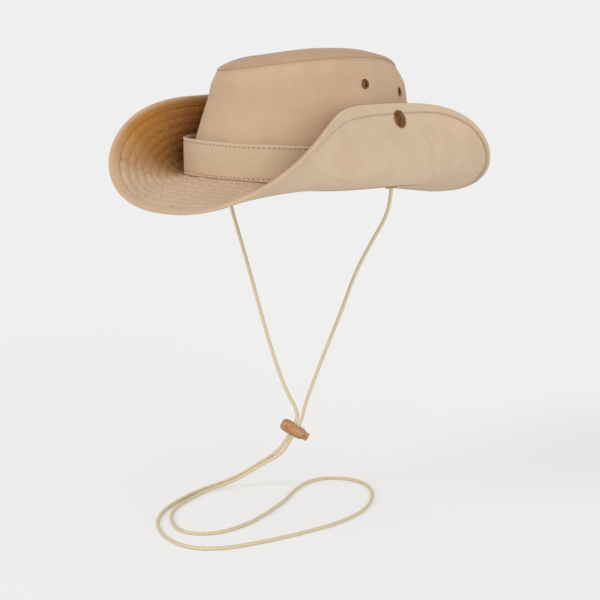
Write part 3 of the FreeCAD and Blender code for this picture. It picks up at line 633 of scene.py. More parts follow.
def canvas(
    name, light, dark, lines=(), pitch=None, length=0.0030, groove_shade_share=0.25, hole_shade_share=0.8, painted_shade_tint=None,
):
    """Cotton canvas: a fine twill, slubs and soft mottling, with its rows of stitching, and painted shade in
    the needle holes, along the seams and, where asked, as a warm tint.
    """
    cloth = bpy.data.materials.new(name)
    tree = nodes_of(cloth)
    flat = node(tree, "ShaderNodeUVMap", uv_map="cloth").outputs[0]
    axes = node(tree, "ShaderNodeSeparateXYZ", {0: flat})
    warp = maths(tree, "MULTIPLY", axes.outputs["X"], 2 * math.pi / 0.00062)
    weft = maths(tree, "MULTIPLY", axes.outputs["Y"], 2 * math.pi / 0.00056)
    twill = maths(tree, "SINE", maths(tree, "ADD", warp, weft))
    yarn = maths(tree, "MULTIPLY", maths(tree, "COSINE", warp), 0.45)
    weave = maths(tree, "MULTIPLY_ADD", maths(tree, "ADD", twill, yarn), 0.345, 0.5)
    uneven = []
    for scale, detail, rough in ((38.0, 3.0, 0.55), (620.0, 3.0, 0.65), (150.0, 2.0, 0.5)):
        values = {"Vector": flat, "Scale": scale, "Detail": detail, "Roughness": rough}
        uneven.append(node(tree, "ShaderNodeTexNoise", values).outputs["Fac"])
    large, slub, soft = uneven
    share = maths(tree, "MULTIPLY_ADD", large, 0.9, maths(tree, "MULTIPLY", slub, 0.55))
    share = maths(tree, "MULTIPLY_ADD", weave, 0.16, share)
    tone = mixed(tree, ramp(tree, share, 0.45, 1.15), dark, light)
    height = maths(tree, "MULTIPLY_ADD", slub, 0.00016, maths(tree, "MULTIPLY", weave, 0.00007))
    height = maths(tree, "MULTIPLY_ADD", soft, 0.00075, height)
    if lines:
        seam_map = node(tree, "ShaderNodeUVMap", uv_map="seam").outputs[0]
        seam = node(tree, "ShaderNodeSeparateXYZ", {0: seam_map})
        thread, hole, groove_shade = stitching(tree, seam.outputs["X"], seam.outputs["Y"], lines, length, pitch)
        # Painted shade: the cloth darkens in a band along each seam line.
        tone = mixed(tree, maths(tree, "MULTIPLY", groove_shade, groove_shade_share), tone, CANVAS_SHADE)
        tone = mixed(tree, maths(tree, "MULTIPLY", thread, 0.75), tone, THREAD)
        # Painted shade: the needle holes are coloured dark.
        tone = mixed(tree, maths(tree, "MULTIPLY", hole, hole_shade_share), tone, STITCH_HOLE_SHADE)
        height = maths(tree, "MULTIPLY_ADD", thread, 0.00016, height)
        height = maths(tree, "MULTIPLY_ADD", hole, -0.00022, height)
        height = maths(tree, "MULTIPLY_ADD", groove_shade, -0.00015, height)
    # Painted shade: where the attribute asks for it, the cloth is tinted a deeper, warmer brown to stand in
    # for shade inside the raised flaps.
    if painted_shade_tint is not None:
        painted_shade = node(tree, "ShaderNodeAttribute", attribute_name="painted_shade").outputs["Fac"]
        tone = mixed(tree, painted_shade, tone, painted_shade_tint, "MULTIPLY")
    bumps = node(tree, "ShaderNodeBump", {"Strength": 1.0, "Distance": 1.0, "Height": height})
    rough = ramp(tree, slub, 0.3, 0.7, 0.84, 0.94)
    finish = {"Base Color": tone, "Roughness": rough, "Normal": bumps.outputs[0]}
    shader = node(tree, "ShaderNodeBsdfPrincipled", finish)
    shader.inputs["Specular IOR Level"].default_value = 0.22
    shader.inputs["Sheen Weight"].default_value = 0.12
    shader.inputs["Sheen Roughness"].default_value = 0.5
    node(tree, "ShaderNodeOutputMaterial", {"Surface": shader.outputs[0]})
    return cloth


def closed_sheet(name, grid, materials, slots, cloth_uv, seam_uv, around=False, sharp=55):
    """A closed skin from a grid: each row is a loop round the cloth's section, from end to end."""
    rows, columns = grid.shape[:2]
    points = grid.reshape(-1, 3)
    faces, face_slots, corners, seams = [], [], [], []
    last = rows if around else rows - 1
    for i in range(last):
        k = (i + 1) % rows
        for j in range(columns):
            n = (j + 1) % columns
            faces.append((i * columns + j, i * columns + n, k * columns + n, k * columns + j))
            face_slots.append(slots[j])
            m = j + 1 if cloth_uv.shape[1] > columns else n
            p = i + 1 if cloth_uv.shape[0] > rows else k
            corners.extend((cloth_uv[i, j], cloth_uv[i, m], cloth_uv[p, m], cloth_uv[p, j]))
            seams.extend((seam_uv[i, j], seam_uv[i, m], seam_uv[p, m], seam_uv[p, j]))
    if not around:
        for row, step in ((0, -1), (rows - 1, 1)):
            end = [row * columns + j for j in range(columns)][::step]
            half = columns // 2
            for j in range(half - 1 if columns % 2 == 0 else half):
                quad = [end[j], end[j + 1], end[columns - 2 - j], end[columns - 1 - j]]
                quad = list(dict.fromkeys(quad))
                faces.append(tuple(quad))
                face_slots.append(0)
                source = [(row, q - row * columns) for q in quad]
                corners.extend(cloth_uv[a, b] for a, b in source)
                seams.extend(seam_uv[a, b] for a, b in source)
    made = make_object(name, points, faces, materials, sharp)
    made.data.polygons.foreach_set("material_index", face_slots)
    for layer_name, values in (("cloth", corners), ("seam", seams)):
        layer = made.data.uv_layers.new(name=layer_name)
        layer.data.foreach_set("uv", np.array(values, dtype=np.float32).ravel())
    return made


# The upper cloth carries a painted shade tint inside the raised flaps.
upper_canvas = canvas(
    "canvas_brim_upper", CANVAS_LIGHT, CANVAS_DARK, (HEM_LINE, SEAM_ROW), ROW_PITCH,
    groove_shade_share=0.12, hole_shade_share=0.25, painted_shade_tint=(0.80, 0.53, 0.17),
)
# Painted light: the under cloth is a lighter copy of the same canvas, standing in for light on the outside of
# the raised flaps.
lit_lower_canvas = canvas(
    "canvas_brim_lower_painted_light", (0.715, 0.550, 0.388), (0.640, 0.480, 0.328), (HEM_LINE,),
    groove_shade_share=0.2, hole_shade_share=0.35,
)


def brim_half(name, side):
    """One half of the brim, front middle to back middle, through one raised side."""
    start = 0.0007
    edge_start = BRIM_WIDTH - BRIM_HALF_THICK
    upper_runs = np.linspace(start, edge_start, UPPER_STEPS)
    edge_angle = np.linspace(0.0, math.pi, EDGE_STEPS + 2)[1:-1]
    lower_runs = np.linspace(edge_start, start, LOWER_STEPS)
    edge_runs = edge_start + BRIM_HALF_THICK * np.sin(edge_angle)
    section_run = np.concatenate([upper_runs, edge_runs, lower_runs])
    turns = np.linspace(0.0, math.pi, 401)[:, None] * side
    run = np.broadcast_to(section_run, (len(turns), len(section_run))).copy()
    upper, edge, lower = np.split(np.arange(len(section_run)), [UPPER_STEPS, UPPER_STEPS + EDGE_STEPS])
    for layer in (upper, lower):
        run[:, layer] += 0.0013 * np.sin(turns) ** 2 * np.clip(1 - (run[:, layer] - start) / 0.004, 0, 1)
    edge_middle = UPPER_STEPS + (EDGE_STEPS + 1) // 2
    lift = np.zeros_like(run)
    lift[:, upper] = BRIM_HALF_THICK + upper_relief(turns, run[:, upper])
    lift[:, edge] = BRIM_HALF_THICK * np.cos(edge_angle)
    lift[:, lower] = -BRIM_HALF_THICK - lower_relief(np.abs(turns), run[:, lower], side)
    turns = np.broadcast_to(turns, run.shape)
    grid = brim_middle(turns, run) + brim_normal(turns, run) * lift[..., None]
    flat_x, flat_y = opening_point(turns, run)
    steps = np.hypot(np.diff(flat_x, axis=0), np.diff(flat_y, axis=0))
    under = np.arange(run.shape[1]) >= edge_middle
    across = run - hem_drift(turns) * np.clip((run - 0.035) / 0.018, 0.0, 1.0) * under
    along = np.concatenate([np.zeros((1, run.shape[1])), np.cumsum(steps, axis=0)])
    slots = [0] * (edge_middle - 1) + [1] * (len(section_run) - edge_middle + 1)
    # Painted shade: an attribute that is strongest on the raised sides, higher up and away from the edge,
    # where the upper cloth is tinted darker and warmer.
    deep = np.clip((np.abs(np.sin(turns)) - 0.45) / 0.3, 0.0, 1.0)
    if side < 0:
        laid = (grid, flat_x, flat_y, along, run, across, deep)
        grid, flat_x, flat_y, along, run, across, deep = (rows[::-1] for rows in laid)
    cloth_uv = np.stack([flat_x, flat_y], axis=-1)
    seam_uv = np.stack([along, across], axis=-1)
    made = closed_sheet(name, grid, [upper_canvas, lit_lower_canvas], slots, cloth_uv, seam_uv)
    painted_shade = made.data.attributes.new("painted_shade", "FLOAT", "POINT")
    raised = np.clip((grid[..., 2] + 0.009) / 0.024, 0.0, 1.0)
    share = deep * raised * np.clip((BRIM_WIDTH - 0.001 - run) / 0.003, 0.15, 1.0)
    painted_shade.data.foreach_set("value", share.astype(np.float32).ravel())
    return made


brim_left = brim_half("brim_left_half", 1)
brim_right = brim_half("brim_right_half", -1)
for half, flap in ((brim_left, "left_flap"), (brim_right, "right_flap")):
    layers = [flap + "_upper_cloth", flap + "_interlining", flap + "_lower_cloth"]
    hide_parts("brim_upper_cloth", "brim_interlining", "brim_lower_cloth", *layers)
    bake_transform(half)

# ---------------------------------------------------------------------------------------------
# Crown side: one panel of the same canvas, joined up the centre of the back. It leans in as it
# rises, and its top edge is turned in and stitched to the oval tip. Holes take the eyelets.
CROWN_HEIGHT = 0.0835
TIP_HALF_WIDTH = 0.065
TIP_HALF_LENGTH = 0.081
TIP_SET_BACK = 0.004
TIP_FRONT_RISE = 0.007
TIP_LEFT_RISE = 0.008
TIP_SIDE_RISE = 0.004
TIP_DOME = 0.011
WALL_BOW = 1.3
SHOULDER_REACH = 0.021
SHOULDER_PULL = 0.0042
SHOULDER_LIFT = 0.0016
CROWN_CLOTH = 0.0012
SEAM_ALLOWANCE = 0.002
EYELET_HOLE = 0.00262
EYELET_PLACES = {
    "left_front": ((0.0652848, -0.0195837, 0.0771261), (0.9462, -0.2135, 0.2430)),
    "left_rear": ((0.0660186, 0.0255299, 0.0711566), (0.9435, 0.2411, 0.2274)),
    "right_front": ((-0.0637099, -0.0196028, 0.0698326), (-0.9348, -0.2037, 0.2910)),
    "right_rear": ((-0.0646674, 0.0255407, 0.0638627), (-0.9320, 0.2355, 0.2755)),
}


def tip_height(turn):
    """Height of the seam between the crown's side and its tip."""
    lift = TIP_FRONT_RISE * np.cos(turn) + TIP_LEFT_RISE * np.sin(turn)
    return CROWN_HEIGHT + lift - TIP_SIDE_RISE * np.cos(2 * turn)


def seam_foot(turn):
    """Foot of the cloth that is sewn inside the brim, a seam allowance below the brim's edge."""
    start = 0.0003 + 0.0013 * np.sin(turn) ** 2
    return brim_middle(turn, start)[..., 2] - SEAM_ALLOWANCE


def shoulder(turn):
    """How much the top of the crown is rounded in: nothing in front, all of it round the back."""
    back = np.clip((np.degrees(np.abs(turn)) - 70.0) / 50.0, 0.0, 1.0)
    return back * back * (3.0 - 2.0 * back)


def wall_point(turn, height, outward):
    """Points on the outside of the crown's side, moved outwards level."""
    turn, height = np.broadcast_arrays(turn, height)
    share = (np.maximum(height, 0.0) / tip_height(turn)) ** WALL_BOW
    round_in = shoulder(turn) * np.clip(1.0 - (tip_height(turn) - height) / SHOULDER_REACH, 0.0, 1.0) ** 2
    outward, height = outward - SHOULDER_PULL * round_in, height + SHOULDER_LIFT * round_in
    half_width = OPENING_HALF_WIDTH * (1 - share) + TIP_HALF_WIDTH * share
    half_length = OPENING_HALF_LENGTH * (1 - share) + TIP_HALF_LENGTH * share
    across, ahead = np.sin(turn) / half_width, -np.cos(turn) / half_length
    reach = outward / np.hypot(across, ahead)
    x = half_width * np.sin(turn) + across * reach
    y = -half_length * np.cos(turn) + TIP_SET_BACK * share + ahead * reach
    return np.stack([x, y, height], axis=-1)


def band_sheet(bottom, top, inner, outer, rows, columns=300, relief=None, thin=0.02):
    """A band of cloth round the hat, closed at its edges, with its flat size and seam laid out."""
    turns = np.linspace(-math.pi, math.pi, columns, endpoint=False)[:, None]
    share = np.concatenate([np.linspace(0.0, 1.0, rows), np.linspace(1.0, 0.0, max(rows // 2, 6))])
    outside = np.arange(len(share)) < rows
    low, high = bottom(turns), top(turns)
    height = low + (high - low) * share
    middle, half = (inner + outer) / 2, (outer - inner) / 2
    offset = np.where(outside, half, -half) + np.zeros_like(height)
    near_edge = np.minimum(height - low, high - height)
    rounding = np.clip(1 - near_edge / half, 0.0, 1.0)
    offset = offset * np.sqrt(np.maximum(1 - rounding ** 2, thin))
    if relief is not None:
        offset = offset + np.where(outside, 1.0, 0.35) * relief(turns, height, high - height)
    return turns, height, middle + offset, high


def crown_relief(turn, height, from_top):
    """Soft dents and the seams' own thickness, where the cloth is turned in under the tip."""
    around = turn * 0.09
    soft = rumple(around, height, 17.0, 0.00085, 21.0) + rumple(around, height, 48.0, 0.00022, 24.0)
    fade = np.clip(from_top / 0.012, 0.0, 1.0) * np.clip((height + 0.002) / 0.012, 0.0, 1.0)
    turned_in = 0.00030 * np.exp(-((from_top - 0.0030) / 0.0024) ** 2)
    seam = turned_in - 0.00010 * np.exp(-(from_top / 0.0008) ** 2)
    rear = 0.5 - 0.5 * np.cos(turn)
    near_top = np.clip(1 - from_top / 0.026, 0.0, 1.0)
    seam = seam + (0.0010 + 0.0006 * rear) * np.sin(math.pi * near_top ** 1.5) ** 2
    upright = np.minimum(math.pi - np.abs(turn), 0.3) * 0.0925
    fell = 0.00032 * np.exp(-((upright - 0.0035) / 0.0030) ** 4) - 0.00035 * np.exp(-(upright / 0.0007) ** 2)
    return soft * fade + seam + fell * fade


def laid_round(name, turns, height, outward, high, place, material):
    """Builds a closed band from its section, with lengths round the hat as its flat pattern."""
    grid = place(turns, height, outward)
    columns = len(turns)
    level = place(np.append(turns[:, 0], math.pi)[:, None], np.full((columns + 1, 1), 0.03), 0.0)[:, 0, :2]
    along = np.concatenate([[0.0], np.cumsum(np.linalg.norm(np.diff(level, axis=0), axis=1))])
    rows = height.shape[1]
    tall = np.vstack([height, height[:1]])
    tall_high = np.vstack([high, high[:1]])
    lengths = np.broadcast_to(along[:, None], tall.shape)
    cloth_uv = np.stack([lengths, tall], axis=-1)
    seam_uv = np.stack([lengths, np.broadcast_to(tall_high, tall.shape) - tall], axis=-1)
    return closed_sheet(name, grid, [material], [0] * rows, cloth_uv, seam_uv, around=True)


crown_canvas = canvas(
    "canvas_crown", CANVAS_LIGHT, CANVAS_DARK, (0.0012,),
    length=0.0034, groove_shade_share=0.15, hole_shade_share=0.25,
)
section = band_sheet(seam_foot, tip_height, -CROWN_CLOTH, 0.0, 80, 420, crown_relief, 0.6)
crown_side = laid_round("crown_side_panel_cloth", *section, wall_point, crown_canvas)
for foot, axis in EYELET_PLACES.values():
    bore(crown_side, EYELET_HOLE, foot, Vector(axis), 0.012)
bpy.context.view_layer.objects.active = crown_side
crown_side.select_set(True)
bpy.ops.object.shade_smooth_by_angle(angle=math.radians(55))
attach(crown_side, "hat")
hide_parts("crown_side_panel")

# ---------------------------------------------------------------------------------------------
# Crown tip: a domed oval of canvas, stitched down just inside the seam that joins it to the
# side. A strip of cotton tape covers the raw seam inside.
TIP_GAP = 0.0002
TIP_RINGS = 56
TIP_TURNS = 300


def tip_point(turn, ring, lift):
    """Points on the domed tip, a share of the way out from its middle to its seam."""
    side, rear = ring * np.sin(turn), -ring * np.cos(turn)
    level = CROWN_HEIGHT + TIP_DOME * (1 - ring ** 5.2) - TIP_FRONT_RISE * rear + TIP_LEFT_RISE * side
    level = level - TIP_SIDE_RISE * (rear * rear - side * side) + lift
    round_in = shoulder(turn) * ring ** 4
    across, ahead = np.sin(turn) / TIP_HALF_WIDTH, -np.cos(turn) / TIP_HALF_LENGTH
    reach = -SHOULDER_PULL * round_in / np.hypot(across, ahead)
    level = level + SHOULDER_LIFT * round_in
    x = TIP_HALF_WIDTH * side + across * reach
    y = TIP_HALF_LENGTH * rear + TIP_SET_BACK + ahead * reach
    return np.stack([x, y, level], axis=-1)


tip_turn = np.linspace(-math.pi, math.pi, TIP_TURNS, endpoint=False)
ring_shares = np.concatenate([1 - np.linspace(0.0, 1.0, TIP_RINGS)[:-1] ** 1.35, [0.0]])
points, flat, seam = [], [], []
middle_radius = (TIP_HALF_WIDTH + TIP_HALF_LENGTH) / 2
for skin in (1, 0):
    for share in ring_shares[:-1]:
        inside = (1 - share) * middle_radius
        x, y = share * np.sin(tip_turn), -share * np.cos(tip_turn)
        soft = rumple(x, y, 1.5, 0.0011, 31.0) * min(inside / 0.012, 1.0)
        roll = 0.00035 * math.exp(-((inside - 0.0034) / 0.0024) ** 2)
        roll = roll - 0.0001 * math.exp(-(inside / 0.0008) ** 2)
        lift = TIP_GAP + CROWN_CLOTH * skin + (roll if skin else 0.0) + soft
        points.append(tip_point(tip_turn, share, lift))
        flat.append(np.stack([TIP_HALF_WIDTH * x, TIP_HALF_LENGTH * y], axis=-1))
        seam.append(np.stack([(tip_turn + math.pi) * middle_radius, np.full(TIP_TURNS, inside)], axis=-1))
rings = TIP_RINGS - 1
points = np.array(points)
pole_soft = float(rumple(np.array([0.0]), np.array([0.0]), 1.5, 0.0011, 31.0)[0])
poles = [tip_point(0.0, 0.0, TIP_GAP + CROWN_CLOTH + pole_soft), tip_point(0.0, 0.0, TIP_GAP + pole_soft)]
faces, corners, seams = [], [], []


def tip_strip(first, second, column, following, wraps):
    """One quad between two rings of the tip, outer ring first."""
    start = [tip_corner(first, column, False), tip_corner(first, following, wraps)]
    tip_face([*start, tip_corner(second, following, wraps), tip_corner(second, column, False)])


def tip_face(places):
    faces.append(tuple(p[0] for p in places))
    corners.extend(p[1] for p in places)
    seams.extend(p[2] for p in places)


def tip_corner(row, column, last_round):
    index = row * TIP_TURNS + column
    along = seam[row][column].copy()
    if last_round and column == 0:
        along[0] = 2 * math.pi * middle_radius
    return index, flat[row][column], along


for column in range(TIP_TURNS):
    following = (column + 1) % TIP_TURNS
    wraps = following == 0
    for row in range(rings - 1):
        for first, second in ((row, row + 1), (rings + row + 1, rings + row)):
            tip_strip(first, second, column, following, wraps)
    tip_strip(rings, 0, column, following, wraps)
    centre = (np.zeros(2), np.array([column / TIP_TURNS, middle_radius]))
    outer_pole, inner_pole = 2 * rings * TIP_TURNS, 2 * rings * TIP_TURNS + 1
    last_pair = [tip_corner(rings - 1, column, False), tip_corner(rings - 1, following, wraps)]
    tip_face([*last_pair, (outer_pole, *centre)])
    last_pair = [tip_corner(2 * rings - 1, following, wraps), tip_corner(2 * rings - 1, column, False)]
    tip_face([*last_pair, (inner_pole, *centre)])
# Painted shade: the tip's canvas is a darker copy of the side's, so the top of the crown looks less lit.
tip_canvas_painted_shade = canvas("canvas_tip_painted_shade", (0.540, 0.355, 0.220), (0.470, 0.300, 0.178))
crown_tip = make_object("crown_tip_cloth", [*points.reshape(-1, 3), *poles], faces, [tip_canvas_painted_shade], 50)
for layer_name, values in (("cloth", corners), ("seam", seams)):
    layer = crown_tip.data.uv_layers.new(name=layer_name)
    layer.data.foreach_set("uv", np.array(values, dtype=np.float32).ravel())
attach(crown_tip, "hat")
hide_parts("crown_tip")

cotton_tape = canvas(
    "cotton_tape", (0.640, 0.520, 0.380), (0.540, 0.420, 0.290), (0.0012, 0.0048), length=0.0028,
)
section = band_sheet(
    lambda t: tip_height(t) - 0.007, lambda t: tip_height(t) - 0.001, -0.0020, -0.0014, 12, 200,
)
seam_tape = laid_round("crown_seam_tape_strip", *section, wall_point, cotton_tape)
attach(seam_tape, "hat")
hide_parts("crown_seam_tape")

# ---------------------------------------------------------------------------------------------
# Headband: a doubled strip of canvas, sewn down along its foot and left standing off the crown
# at its top, where it is stitched along the fold.
BAND_HEIGHT = 0.033
BAND_CLOTH = 0.0014
BAND_GAP = 0.0002
BAND_FLARE = 0.0012
BAND_FOOT_GAP = 0.0007


def band_foot(turn):
    """Height of the band's foot, just above the brim's upper cloth."""
    run = np.full(np.shape(turn), BAND_GAP + BAND_CLOTH + BRIM_HALF_THICK)
    return (brim_middle(turn, run) + brim_normal(turn, run) * BRIM_HALF_THICK)[..., 2] + BAND_FOOT_GAP


def band_point(turn, height, outward):
    """Points on the upright band, which flares a little towards its top."""
    turn, height = np.broadcast_arrays(turn, height)
    x, y = opening_point(turn, outward + BAND_FLARE * np.clip(height / BAND_HEIGHT, 0.0, 1.0))
    return np.stack([x, y, height], axis=-1)


def band_relief(turn, height, from_top):
    """A band laid by hand: a wavering top edge, soft swells, and seams pulled in a little."""
    around = turn * 0.092
    sway = rumple(around, height * 0.3, 22.0, 0.00065, 41.0) * np.clip(height / BAND_HEIGHT, 0.0, 1.0)
    soft = rumple(around, height, 60.0, 0.00025, 44.0)
    top_seam = -0.00028 * np.exp(-((from_top - 0.0024) / 0.0006) ** 2)
    foot_seam = -0.00028 * np.exp(-((from_top - 0.0248) / 0.0006) ** 2)
    upright = np.minimum(math.pi - np.abs(turn), 0.3) * 0.0935
    lap = 0.00045 * np.clip(1 - (upright - 0.004) / 0.0006, 0.0, 1.0)
    return sway + soft * np.clip(from_top / 0.004, 0.0, 1.0) + top_seam + foot_seam + lap


def band_top(turn):
    """Height of the band's folded top edge, which wavers a little."""
    return BAND_HEIGHT + rumple(turn, 0 * turn, 1.7, 0.0007, 47.0)


band_canvas = canvas(
    "canvas_band", (0.677, 0.520, 0.362), (0.606, 0.452, 0.303), (0.0024, 0.0248),
    length=0.0037, groove_shade_share=0.25, hole_shade_share=0.65,
)
section = band_sheet(band_foot, band_top, BAND_GAP, BAND_GAP + BAND_CLOTH, 48, 420, band_relief)
headband = laid_round("headband_strip", *section, band_point, band_canvas)
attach(headband, "hat")
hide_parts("headband")

# ---------------------------------------------------------------------------------------------
# Sweatband: a soft cotton strip inside the head opening, stitched down along its foot, that
# covers the seam of crown and brim.
sweat_cotton = canvas(
    "sweatband_cotton", (0.560, 0.440, 0.310), (0.450, 0.340, 0.225), (0.0020, 0.0300), length=0.0026,
)
section = band_sheet(seam_foot, lambda t: 0.031 + 0 * t, -0.0022, -0.0014, 24, 260)
sweatband = laid_round("sweatband_strip", *section, wall_point, sweat_cotton)
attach(sweatband, "hat")
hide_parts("sweatband")

# ---------------------------------------------------------------------------------------------
# Cord tabs: a short piece of canvas folded in two and sewn under each side of the sweatband,
# with the end of the chin cord caught between its leaves.
TAB_THICK = 0.0032
TAB_WIDTH = 0.012
TAB_HEIGHT = 0.010
tab_canvas = canvas("canvas_tab", CANVAS_LIGHT, CANVAS_DARK, (0.0016, 0.0084), length=0.0024)
for name, centre in (("left", TAB_LEFT), ("right", TAB_RIGHT)):
    bpy.ops.object.select_all(action="DESELECT")
    middle = centre + Vector((0.0, 0.0, TAB_HEIGHT / 2))
    bpy.ops.mesh.primitive_cube_add(size=1.0, location=middle, scale=(TAB_THICK, TAB_WIDTH, TAB_HEIGHT))
    tab = bpy.context.object
    tab.name = "cord_tab_fold_" + name
    bpy.ops.object.transform_apply()
    bpy.ops.object.mode_set(mode="EDIT")
    bpy.ops.mesh.select_all(action="SELECT")
    bpy.ops.mesh.bisect(plane_co=middle, plane_no=(1.0, 0.0, 0.0))
    bpy.ops.mesh.select_all(action="SELECT")
    bpy.ops.mesh.bisect(plane_co=middle, plane_no=(0.0, 1.0, 0.0))
    bpy.ops.mesh.select_all(action="SELECT")
    bpy.ops.mesh.subdivide(number_cuts=2)
    bpy.ops.object.mode_set(mode="OBJECT")
    for vertex in tab.data.vertices:
        seam_line = abs(vertex.co.x - centre.x) < 0.0002
        at_side = abs(abs(vertex.co.y - centre.y) - TAB_WIDTH / 2) < 0.0002
        at_top = vertex.co.z > middle.z + TAB_HEIGHT / 2 - 0.0002
        if seam_line and (at_side or at_top):
            vertex.co.y -= math.copysign(0.0007, vertex.co.y - centre.y) * at_side
            vertex.co.z -= 0.0007 * at_top
    edge = tab.modifiers.new("soft_edge", "BEVEL")
    edge.width = 0.0005
    edge.segments = 2
    edge.limit_method = "ANGLE"
    bpy.ops.object.modifier_apply(modifier=edge.name)
    smooth_over(tab, 2)
    bpy.ops.object.shade_smooth()
    tab.data.uv_layers.remove(tab.data.uv_layers[0])
    tab.data.materials.append(tab_canvas)
    spots = np.array([tab.data.vertices[loop.vertex_index].co[:] for loop in tab.data.loops])
    for layer_name, level in (("cloth", 0.0), ("seam", centre.z)):
        layer = tab.data.uv_layers.new(name=layer_name)
        laid = np.stack([spots[:, 1], spots[:, 2] - level], axis=1)
        layer.data.foreach_set("uv", laid.astype(np.float32).ravel())
    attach(tab, "hat")
    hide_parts("cord_tab_" + name)

# ---------------------------------------------------------------------------------------------
# Eyelets: pressed brass, antiqued dark, with a rolled rim outside. Each is set through the crown
# over a flat washer, and stays open to let air through.
EYELET_PROFILE = [
    (0.00210, 0.00045), (0.00216, 0.00012), (0.00240, -0.00004), (0.00268, 0.00006), (0.00260, 0.00030),
    (0.00260, 0.00212), (0.00300, 0.00216), (0.00360, 0.00212), (0.00384, 0.00224), (0.00390, 0.00242),
    (0.00378, 0.00264), (0.00345, 0.00280), (0.00300, 0.00285), (0.00258, 0.00276), (0.00226, 0.00252),
    (0.00210, 0.00215),
]
antique_brass = bpy.data.materials.new("antique_brass")
tree = nodes_of(antique_brass)
place = node(tree, "ShaderNodeTexCoord").outputs["Object"]
patina = node(tree, "ShaderNodeTexNoise", {"Vector": place, "Scale": 420.0, "Detail": 4.0, "Roughness": 0.65})
specks = node(tree, "ShaderNodeTexNoise", {"Vector": place, "Scale": 2400.0, "Detail": 2.0})
worn = node(tree, "ShaderNodeNewGeometry").outputs["Pointiness"]
aged = ramp(tree, patina.outputs["Fac"], 0.35, 0.70)
tone = mixed(tree, aged, (0.095, 0.034, 0.008), (0.230, 0.100, 0.026))
tone = mixed(tree, ramp(tree, worn, 0.505, 0.570, 0.0, 0.75), tone, (0.700, 0.440, 0.200))
tone = mixed(tree, ramp(tree, worn, 0.490, 0.440, 0.0, 0.8), tone, (0.060, 0.030, 0.014))
bumps = node(tree, "ShaderNodeBump", {"Strength": 0.25, "Distance": 0.0001, "Height": specks.outputs["Fac"]})
gloss = ramp(tree, patina.outputs["Fac"], 0.3, 0.7, 0.36, 0.22)
finish = {"Base Color": tone, "Roughness": gloss, "Normal": bumps.outputs[0]}
shader = node(tree, "ShaderNodeBsdfPrincipled", finish)
shader.inputs["Metallic"].default_value = 0.9
node(tree, "ShaderNodeOutputMaterial", {"Surface": shader.outputs[0]})


def copy_of(made, name):
    """Another of a repeated piece, with a mesh of its own."""
    other = made.copy()
    other.data = made.data.copy()
    other.name = name
    bpy.context.collection.objects.link(other)
    return other


first_eyelet = turned("eyelet_ring", EYELET_PROFILE, 40, antique_brass, open_ring=True)
smooth_over(first_eyelet, 1)
for name, (foot, axis) in EYELET_PLACES.items():
    eyelet = copy_of(first_eyelet, "eyelet_ring_" + name)
    set_down(eyelet, foot, axis)
    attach(eyelet, "hat")
    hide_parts("eyelet_" + name)
bpy.data.objects.remove(first_eyelet)

# ---------------------------------------------------------------------------------------------
# Snap fasteners: a domed cap is riveted through each raised side of the brim into a socket on
# the inside, which presses onto a stud riveted through the crown over a back plate.
CAP_PROFILE = [
    (0.00150, -0.00400), (0.00150, -0.00010), (0.00560, 0.00004), (0.00660, -0.00004), (0.00696, 0.00022),
    (0.00700, 0.00052), (0.00684, 0.00084), (0.00640, 0.00118), (0.00560, 0.00158), (0.00450, 0.00194),
    (0.00320, 0.00220), (0.00180, 0.00236), (0.00070, 0.00240),
]
SOCKET_PROFILE = [
    (0.00260, 0.00020), (0.00280, 0.00002), (0.00330, 0.00002), (0.00356, 0.00030), (0.00350, 0.00110),
    (0.00372, 0.00175), (0.00430, 0.00215), (0.00458, 0.00260), (0.00460, 0.00315), (0.00440, 0.00338),
    (0.00300, 0.00340), (0.00165, 0.00340), (0.00165, 0.00262), (0.00230, 0.00256), (0.00260, 0.00225),
]
SOCKET_HEIGHT = 0.0034
SOCKET_FLOOR = 0.0008
SEAT_GAP = 0.00025
STUD_GAP = 0.00065
STUD_BASE = 0.0032
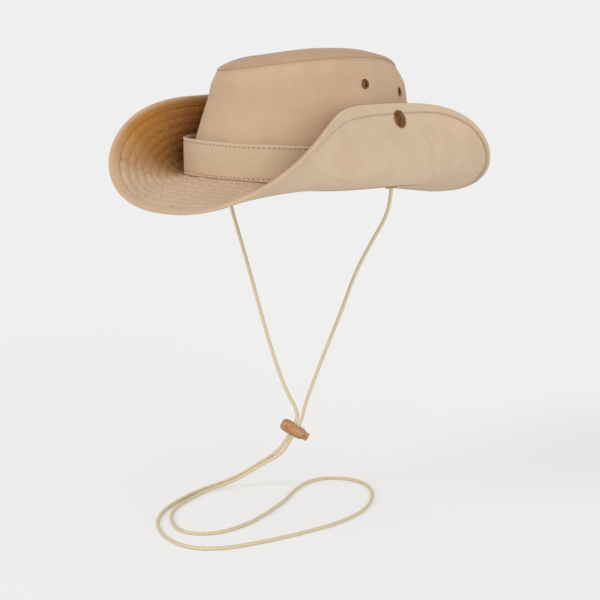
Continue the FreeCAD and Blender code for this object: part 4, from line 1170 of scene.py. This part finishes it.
for name, side in (("left", 1), ("right", -1)):
    turn = np.array(side * math.pi / 2)
    seat = Vector(brim_middle(turn, np.array(SNAP_RUN)))
    axis = -Vector(brim_normal(turn, np.array(SNAP_RUN)))
    near, far = 0.0, 0.04
    for _ in range(40):
        reach = (near + far) / 2
        probe = seat - axis * reach
        if abs(probe.x) > abs(wall_point(turn, np.array(probe.z), 0.0)[0]):
            near = reach
        else:
            far = reach
    cap = turned("snap_cap_dome_" + name, CAP_PROFILE, 48, antique_brass)
    smooth_over(cap, 1)
    set_down(cap, seat + axis * (BRIM_HALF_THICK + SEAT_GAP), axis)
    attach(cap, name + "_flap")
    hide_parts("snap_cap_" + name)
    socket_mouth = seat - axis * (BRIM_HALF_THICK + SEAT_GAP + SOCKET_HEIGHT)
    socket = turned("snap_socket_ring_" + name, SOCKET_PROFILE, 40, antique_brass, open_ring=True)
    smooth_over(socket, 1)
    set_down(socket, socket_mouth, axis)
    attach(socket, name + "_flap")
    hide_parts("snap_socket_" + name)
    stud_foot = seat - axis * (near + STUD_BASE - STUD_GAP)
    length = (socket_mouth - stud_foot).dot(axis) + SOCKET_HEIGHT - SOCKET_FLOOR - STUD_GAP
    stud_profile = [
        (0.0006, 0.0), (0.0015, 0.0001), (0.0015, 0.0031), (0.0040, STUD_BASE), (0.0042, 0.0034),
        (0.00418, 0.0037),
        (0.0038, 0.0040), (0.0026, 0.0042), (0.0019, 0.0046), (0.0018, 0.0052), (0.0018, length - 0.0020),
        (0.0020, length - 0.0015), (0.0021, length - 0.0010), (0.0020, length - 0.0005),
        (0.0015, length - 0.0001),
        (0.0006, length),
    ]
    stud = turned("snap_stud_post_" + name, stud_profile, 32, antique_brass)
    smooth_over(stud, 1)
    set_down(stud, stud_foot, axis)
    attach(stud, "hat")
    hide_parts("snap_stud_" + name)

# The flat washers and back plates inside the crown are plain punched brass.
flat_brass = ["eyelet_washer_" + place for place in EYELET_PLACES]
flat_brass += ["snap_back_plate_left", "snap_back_plate_right"]
for name in flat_brass:
    for metal_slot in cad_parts[name].material_slots:
        metal_slot.material = antique_brass
